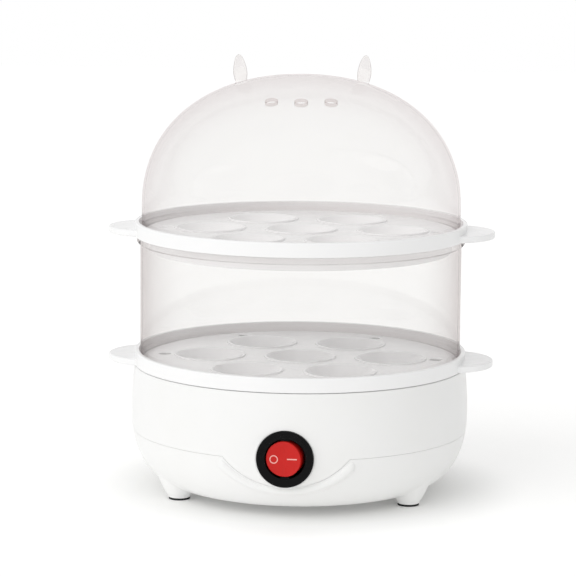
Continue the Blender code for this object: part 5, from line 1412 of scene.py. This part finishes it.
@dataclass
class DomeLid(SubAssembly):
    """The clear domed lid with two hollow ears and three steam vents."""

    bottom: float = 132.3
    spring: float = 144.8
    radius: float = 80.5
    rise: float = 66.7
    power: float = 2.2
    wall: float = 1.6
    flare_radius: float = 81.6
    flare_height: float = 1.6
    flare_blend: float = 1.4
    lid_turn: float = 4.0
    ear_x: float = 30.4
    ear_forward: float = 8.0
    ear_height: float = 14.4
    ear_radius: float = 3.5
    ear_root: float = 2.9
    ear_collar: float = 3.8
    ear_wall: float = 0.9
    ear_lean: float = 5.5
    ear_sink: float = 2.6
    ear_neck: float = 1.2
    collar_low: float = -1.0
    collar_power: float = 2.0
    collar_steps: int = 8
    ear_waist_share: float = 0.31
    ear_tip_power: float = 1.5
    ear_tip_root: float = 0.5
    ear_steps: int = 24
    hollow_power: float = 8.0
    hollow_least: float = 0.1
    vent_radius: float = 3.3
    vent_share: float = 0.62
    vent_circle: float = 45.7
    vent_angles: tuple[float, ...] = (-18.5, 0.0, 18.5)
    vent_slope: float = 0.2
    ear_sides: int = 56
    vent_sides: int = 56

    def height(self, radius: float, inset: float = 0.0) -> float:
        """Return how high the dome stands above its spring line at a radius."""
        share = min(radius / (self.radius - inset), 1.0)
        return (self.rise - inset) * (1.0 - share ** self.power) ** (1.0 / self.power)

    def dome_section(self, inset: float = 0.0) -> list[Corner]:
        """Draw the dome's section from its top down to the spring line.

        Args:
            inset: how far the surface lies inside the dome's own.

        Returns:
            The section's corners.
        """
        corners = [(0.0, self.spring + self.rise - inset, 0.0)]
        steps = CURVE_STEPS * 2
        for index in range(1, steps + 1):
            turn = math.pi / 2 * (1.0 - index / steps)
            radius = (self.radius - inset) * max(math.cos(turn), 0.0) ** (2.0 / self.power)
            corners.append((radius, self.spring + self.height(radius, inset), 0.0))
        return corners

    def ear_place(self, side: float) -> Matrix:
        """Work out where an ear stands on the dome and how it leans outwards.

        Args:
            side: -1 for the left ear and 1 for the right one.

        Returns:
            The matrix that carries an ear there.
        """
        root = self.spring + self.height(math.hypot(self.ear_x, self.ear_forward))
        stand = at(side * self.ear_x, -self.ear_forward, root) @ turn_about("Y", side * self.ear_lean)
        return turn_about("Z", self.lid_turn) @ stand

    def both_ears(self, inset: float = 0.0, depth: float = 0.0) -> BMesh:
        """Return both ears in their places, or the hollows inside them."""
        return together(moved(self.ear(inset, depth), self.ear_place(side)) for side in SIDES)

    def ear(self, inset: float, depth: float) -> BMesh:
        """Shape an ear: a slender bullet whose root flares into the dome, or the hollow inside it.

        Args:
            inset: how far the surface lies inside the ear's own, or 0 for the ear itself.
            depth: how much further down the shape goes.

        Returns:
            A closed shape about the upright axis.
        """
        section = [(0.0, -self.ear_sink - depth, 0.0)]
        if inset:
            section.append((self.ear_root - inset, -self.ear_sink - depth, 0.0))
        else:
            section.append((self.ear_collar, -self.ear_sink, 0.0))
            for index in range(self.collar_steps):
                share = index / self.collar_steps
                flare = (self.ear_collar - self.ear_root) * (1.0 - share) ** self.collar_power
                level = (self.ear_neck - self.collar_low) * share + self.collar_low
                section.append((self.ear_root + flare, level, 0.0))
        height = self.ear_height - inset
        for index in range(self.ear_steps):
            share = index / self.ear_steps
            level = self.ear_neck + (height - self.ear_neck) * math.sin(share * math.pi / 2)
            rise = (level - self.ear_neck) / (height - self.ear_neck)
            thin = inset * (1.0 - rise ** self.hollow_power)
            section.append((max(self.ear_profile(rise) - thin, self.hollow_least), level, 0.0))
        section.append((0.0, height, 0.0))
        return turned(section, self.ear_sides)

    def ear_profile(self, rise: float) -> float:
        """Work out the ear's radius, which swells to its waist and rounds off to its tip.

        Args:
            rise: the share of the way from the neck to the tip.

        Returns:
            The radius.
        """
        waist = self.ear_waist_share
        if rise < waist:
            swell = math.sin(rise / waist * math.pi / 2)
            return self.ear_root + (self.ear_radius - self.ear_root) * swell
        left = 1.0 - ((rise - waist) / (1.0 - waist)) ** self.ear_tip_power
        return self.ear_radius * left ** self.ear_tip_root

    def vent_heading(self, angle: float) -> float:
        """Return the heading of a vent that lies an angle off the lid's front."""
        return angle + self.lid_turn - 90.0

    def vents(self) -> BMesh:
        """Shape the cutters of the three oval vents.

        Returns:
            The closed shapes in their places in the dome.
        """
        surface = self.spring + self.height(self.vent_circle)
        flatten = Matrix.Scale(self.vent_share, 4, Vector((1.0, 0.0, 0.0)))
        cutters = []
        for angle in self.vent_angles:
            heading = self.vent_heading(angle)
            round_bar = rod(self.vent_radius, surface - OVERRUN, surface + OVERRUN, self.vent_sides)
            oval_bar = moved(round_bar, turn_about("Z", heading) @ flatten)
            cutters.append(moved(oval_bar, polar(self.vent_circle, heading)))
        return together(cutters)

    def build(self) -> None:
        """Build and dress the lid."""
        flare_top = self.bottom + self.flare_height
        outside = self.dome_section() + [
            (self.radius, flare_top + self.flare_blend, 0.4),
            (self.flare_radius, flare_top, 0.3),
            (self.flare_radius, self.bottom, 0.4),
            (0.0, self.bottom, 0.0),
        ]
        lid = Workpiece(turned(outside))
        lid.apply(Cut.JOIN, self.both_ears())
        inside = self.dome_section(self.wall) + [
            (self.radius - self.wall, self.bottom - OVERRUN, 0.0),
            (0.0, self.bottom - OVERRUN, 0.0),
        ]
        lid.apply(Cut.TAKE, turned(inside))
        lid.apply(Cut.TAKE, self.both_ears(self.ear_wall, self.wall * 2))
        lid.apply(Cut.TAKE, self.vents())
        shell = self.add_piece("dome_shell", lid.bm, CLEAR_OUTSIDE, "dome_lid", "clear_plastic",
                               ["dome_lid"])
        self.dress_faces(shell, CLEAR_INSIDE, self.is_inside)
        self.dress_faces(shell, CLEAR_EDGE, self.is_edge)
        # The vent walls' darker greyish pink is painted shade in the holes
        self.dress_faces(shell, CLEAR_VENT, self.is_vent)

    def in_ear(self, centre: Vector) -> tuple[Vector, Matrix] | None:
        """Look for the ear, or the hollow of an ear, that a point belongs to.

        Args:
            centre: the point in millimetres.

        Returns:
            The point in that ear's frame and the turn into the frame, or None.
        """
        for side in SIDES:
            back = self.ear_place(side).inverted()
            local = back @ centre
            in_hollow = local.z > -self.wall * 3 and local.xy.length < self.ear_root - self.ear_wall / 2
            in_bullet = local.z > self.wall / 2 and local.xy.length < self.ear_collar + GAP
            if in_hollow or in_bullet:
                return local, back.to_3x3()
        return None

    def is_inside(self, centre: Vector, normal: Vector) -> bool:
        """Tell whether a face looks into the dome or into the hollow of an ear.

        Args:
            centre: the face's centre in millimetres.
            normal: which way it looks.

        Returns:
            True for such a face.
        """
        found = self.in_ear(centre)
        if found:
            local, turn = found
            if local.z < self.wall:
                return True
            outwards = Vector((local.x, local.y, max(local.z - self.ear_height / 2, 0.0)))
            return (turn @ normal).dot(outwards) < 0.0
        return normal.dot(centre - Vector((0.0, 0.0, min(centre.z, self.spring)))) < -self.radius / 4

    def is_edge(self, centre: Vector, normal: Vector) -> bool:
        """Tell whether a face is in the flare or on the outside of an ear.

        Args:
            centre: the face's centre in millimetres.
            normal: which way it looks.

        Returns:
            True for such a face.
        """
        if self.is_inside(centre, normal):
            return False
        return bool(self.in_ear(centre)) or centre.z < self.bottom + self.flare_height + self.flare_blend

    def is_vent(self, centre: Vector, normal: Vector) -> bool:
        """Tell whether a face is the wall of a vent.

        Args:
            centre: the face's centre in millimetres.
            normal: which way it looks.

        Returns:
            True for such a face.
        """
        headings = [self.vent_heading(angle) for angle in self.vent_angles]
        axes = [polar(self.vent_circle, heading).translation.xy for heading in headings]
        near = min((centre.xy - axis).length for axis in axes)
        return near < self.vent_radius + WELD and abs(normal.z) < self.vent_slope


@dataclass
class InnerParts:
    """The parts inside the base and the switch, which keep their CAD shapes."""

    def build(self) -> None:
        """Give every carried-over node the material of the real part."""
        dressing = {
            SILICONE: ["plate_seal"],
            ZINC: ["housing_screw_1", "housing_screw_2", "housing_screw_3", "plate_nut_1", "plate_nut_2",
                   "plate_nut_3", "earth_tag", "thermostat_bracket", "bracket_screw_1", "bracket_screw_2",
                   "fuse_clip", "terminal_screw_1", "terminal_screw_2", "terminal_screw_3"],
            ALUMINIUM: ["heat_spreader"],
            TUBE_STEEL: ["heating_element"],
            PHENOLIC: ["thermostat"],
            GLASS_BRAID: ["thermal_fuse", "fuse_lead_in", "fuse_lead_out"],
            NYLON: ["terminal_block"],
            BROWN_PVC: ["live_lead", "switch_lead"],
            BLUE_PVC: ["neutral_lead"],
            EARTH_PVC: ["earth_lead"],
            BRASS: ["switch_blade_1", "switch_blade_2", "rocker_plunger", "contact_arm"],
            SPRING_STEEL: ["plunger_spring"],
        }
        for finish, names in dressing.items():
            for name in names:
                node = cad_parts[name]
                node.data.materials.clear()
                node.data.materials.append(finish.material())
            LOG.info("%s: %s", finish.title, ", ".join(names))


@dataclass
class Studio:
    """The floor, the soft light and the camera. Distances are in metres."""

    focal_pixels: float = 2650.0
    picture_width: float = 576.0
    sensor: float = 36.0
    distance: float = 1.330
    camera_height: float = 0.308
    pitch: float = 8.76
    yaw: float = -0.275
    roll: float = 0.46
    round_turn: float = 4.6
    view_reach: float = 100.0
    floor_size: float = 3.0
    paper: str = "#F8F8F7"
    white: str = "#FFFFFF"
    sky_from: tuple[float, float, float] = (-0.62, -0.80, 0.35)
    sky_dim: float = 0.42
    sky_bright: float = 0.97
    key_towards: tuple[float, float, float] = (0.63, 0.73, -0.62)
    key_strength: float = 0.58
    key_spread: float = 50.0
    glow_given: float = 0.16
    # The glow that the camera sees runs from glow_near round the object to glow_far beyond fade_end: the
    # greyer floor near the object is painted shade
    glow_near: float = 0.0
    glow_far: float = 0.24
    fade_start: float = 0.066
    fade_end: float = 0.12

    def build(self) -> None:
        """Set the stage."""
        self.build_world()
        self.build_floor()
        self.build_lamps()
        self.build_camera()
        bpy.context.scene.view_settings.view_transform = "Standard"

    @staticmethod
    def seen(tree: bpy.types.NodeTree) -> bpy.types.NodeSocket:
        """Tell the rays of the camera and those of metal and glass from all others.

        Args:
            tree: the node tree of a material or of the world.

        Returns:
            The socket that gives 1 for those rays and 0 for others.
        """
        ray = add_node(tree, "ShaderNodeLightPath")
        first = add_node(tree, "ShaderNodeMath", {"operation": "ADD"}, {
            0: ray.outputs["Is Camera Ray"], 1: ray.outputs["Is Glossy Ray"]})
        both = add_node(tree, "ShaderNodeMath", {"operation": "ADD", "use_clamp": True}, {
            0: first.outputs["Value"], 1: ray.outputs["Is Transmission Ray"]})
        return both.outputs["Value"]

    def build_world(self) -> None:
        """Make a soft sky, brighter at the front left, that is itself seen as white."""
        world = bpy.data.worlds.new("even sky")
        bpy.context.scene.world = world
        world.use_nodes = True
        tree = world.node_tree
        tree.nodes.clear()
        direction = add_node(tree, "ShaderNodeTexCoord").outputs["Generated"]
        side = add_node(tree, "ShaderNodeVectorMath", {"operation": "DOT_PRODUCT"}, {
            0: direction, 1: Vector(self.sky_from).normalized()})
        sky = add_node(tree, "ShaderNodeMapRange", inputs={
            "Value": side.outputs["Value"], "From Min": -1.0, "To Min": self.sky_dim,
            "To Max": self.sky_bright})
        level = add_node(tree, "ShaderNodeMix", {"data_type": "FLOAT"}, {
            0: self.seen(tree), 2: sky.outputs["Result"], 3: 1.0})
        light = add_node(tree, "ShaderNodeBackground", inputs={
            "Color": linear(self.white), "Strength": level.outputs[0]})
        add_node(tree, "ShaderNodeOutputWorld", inputs={"Surface": light.outputs["Background"]})

    def build_floor(self) -> None:
        """Make a white floor that glows a little like a light table, keeps the object's shadow and is
        greyer near the object by painted shade.
        """
        bm = bmesh.new()
        bmesh.ops.create_grid(bm, x_segments=1, y_segments=1, size=self.floor_size)
        mesh = bpy.data.meshes.new("floor")
        bm.to_mesh(mesh)
        bm.free()
        floor = bpy.data.objects.new("floor", mesh)
        bpy.context.scene.collection.objects.link(floor)
        material = bpy.data.materials.new("white paper floor")
        material.use_nodes = True
        tree = material.node_tree
        tree.nodes.clear()
        paper = add_node(tree, "ShaderNodeBsdfDiffuse", inputs={"Color": linear(self.paper)})
        place = add_node(tree, "ShaderNodeTexCoord").outputs["Object"]
        away = add_node(tree, "ShaderNodeVectorMath", {"operation": "LENGTH"}, {0: place})
        # No seen glow near the object, so the floor round it stays greyer: painted shade, besides the real
        # shadow that the floor keeps
        fade = add_node(tree, "ShaderNodeMapRange", {"interpolation_type": "SMOOTHSTEP"}, {
            "Value": away.outputs["Value"], "From Min": self.fade_start, "From Max": self.fade_end,
            "To Min": self.glow_near, "To Max": self.glow_far})
        level = add_node(tree, "ShaderNodeMix", {"data_type": "FLOAT"}, {
            0: self.seen(tree), 2: self.glow_given, 3: fade.outputs["Result"]})
        glow = add_node(tree, "ShaderNodeEmission", inputs={
            "Color": linear(self.white), "Strength": level.outputs[0]})
        both = add_node(tree, "ShaderNodeAddShader", inputs={
            0: paper.outputs["BSDF"], 1: glow.outputs["Emission"]})
        add_node(tree, "ShaderNodeOutputMaterial", inputs={"Surface": both.outputs["Shader"]})
        mesh.materials.append(material)

    def build_lamps(self) -> None:
        """Hang one wide soft lamp to the upper left of the camera."""
        data = bpy.data.lights.new("soft key", "SUN")
        data.energy = self.key_strength
        data.angle = math.radians(self.key_spread)
        lamp = bpy.data.objects.new("soft key", data)
        bpy.context.scene.collection.objects.link(lamp)
        lamp.rotation_euler = Vector(self.key_towards).to_track_quat("-Z", "Y").to_euler()
        lamp.visible_glossy = False
        lamp.visible_transmission = False

    def build_camera(self) -> None:
        """Place the camera where the photograph was taken from."""
        pitch, yaw, roll = (math.radians(angle) for angle in (self.pitch, self.yaw, self.roll))
        ahead = Vector((math.sin(yaw), math.cos(yaw), 0.0)) * math.cos(pitch)
        forward = ahead - Vector((0.0, 0.0, math.sin(pitch)))
        level = Vector((math.cos(yaw), -math.sin(yaw), 0.0))
        upright = level.cross(forward)
        right = level * math.cos(roll) + upright * math.sin(roll)
        up = upright * math.cos(roll) - level * math.sin(roll)
        data = bpy.data.cameras.new("camera")
        data.sensor_fit = "HORIZONTAL"
        data.sensor_width = self.sensor
        data.lens = self.focal_pixels / self.picture_width * self.sensor
        data.clip_end = self.view_reach
        camera = bpy.data.objects.new("camera", data)
        bpy.context.scene.collection.objects.link(camera)
        facing = Matrix((right, up, -forward)).transposed().to_4x4()
        stand = at(0.0, -self.distance, self.camera_height) @ facing
        camera.matrix_world = turn_about("Z", self.round_turn) @ stand
        bpy.context.scene.camera = camera


def main() -> None:
    """Build every sub-assembly in order, then the stage."""
    logging.basicConfig(level=logging.INFO, format="%(message)s")
    BaseHousing().build()
    RockerSwitch().build()
    WaterDish().build()
    EggTray(node="lower_tray", base=64.9).build()
    ClearRing().build()
    EggTray(node="upper_tray", base=130.3).build()
    DomeLid().build()
    InnerParts().build()
    Studio().build()


if __name__ == "__main__":
    main()
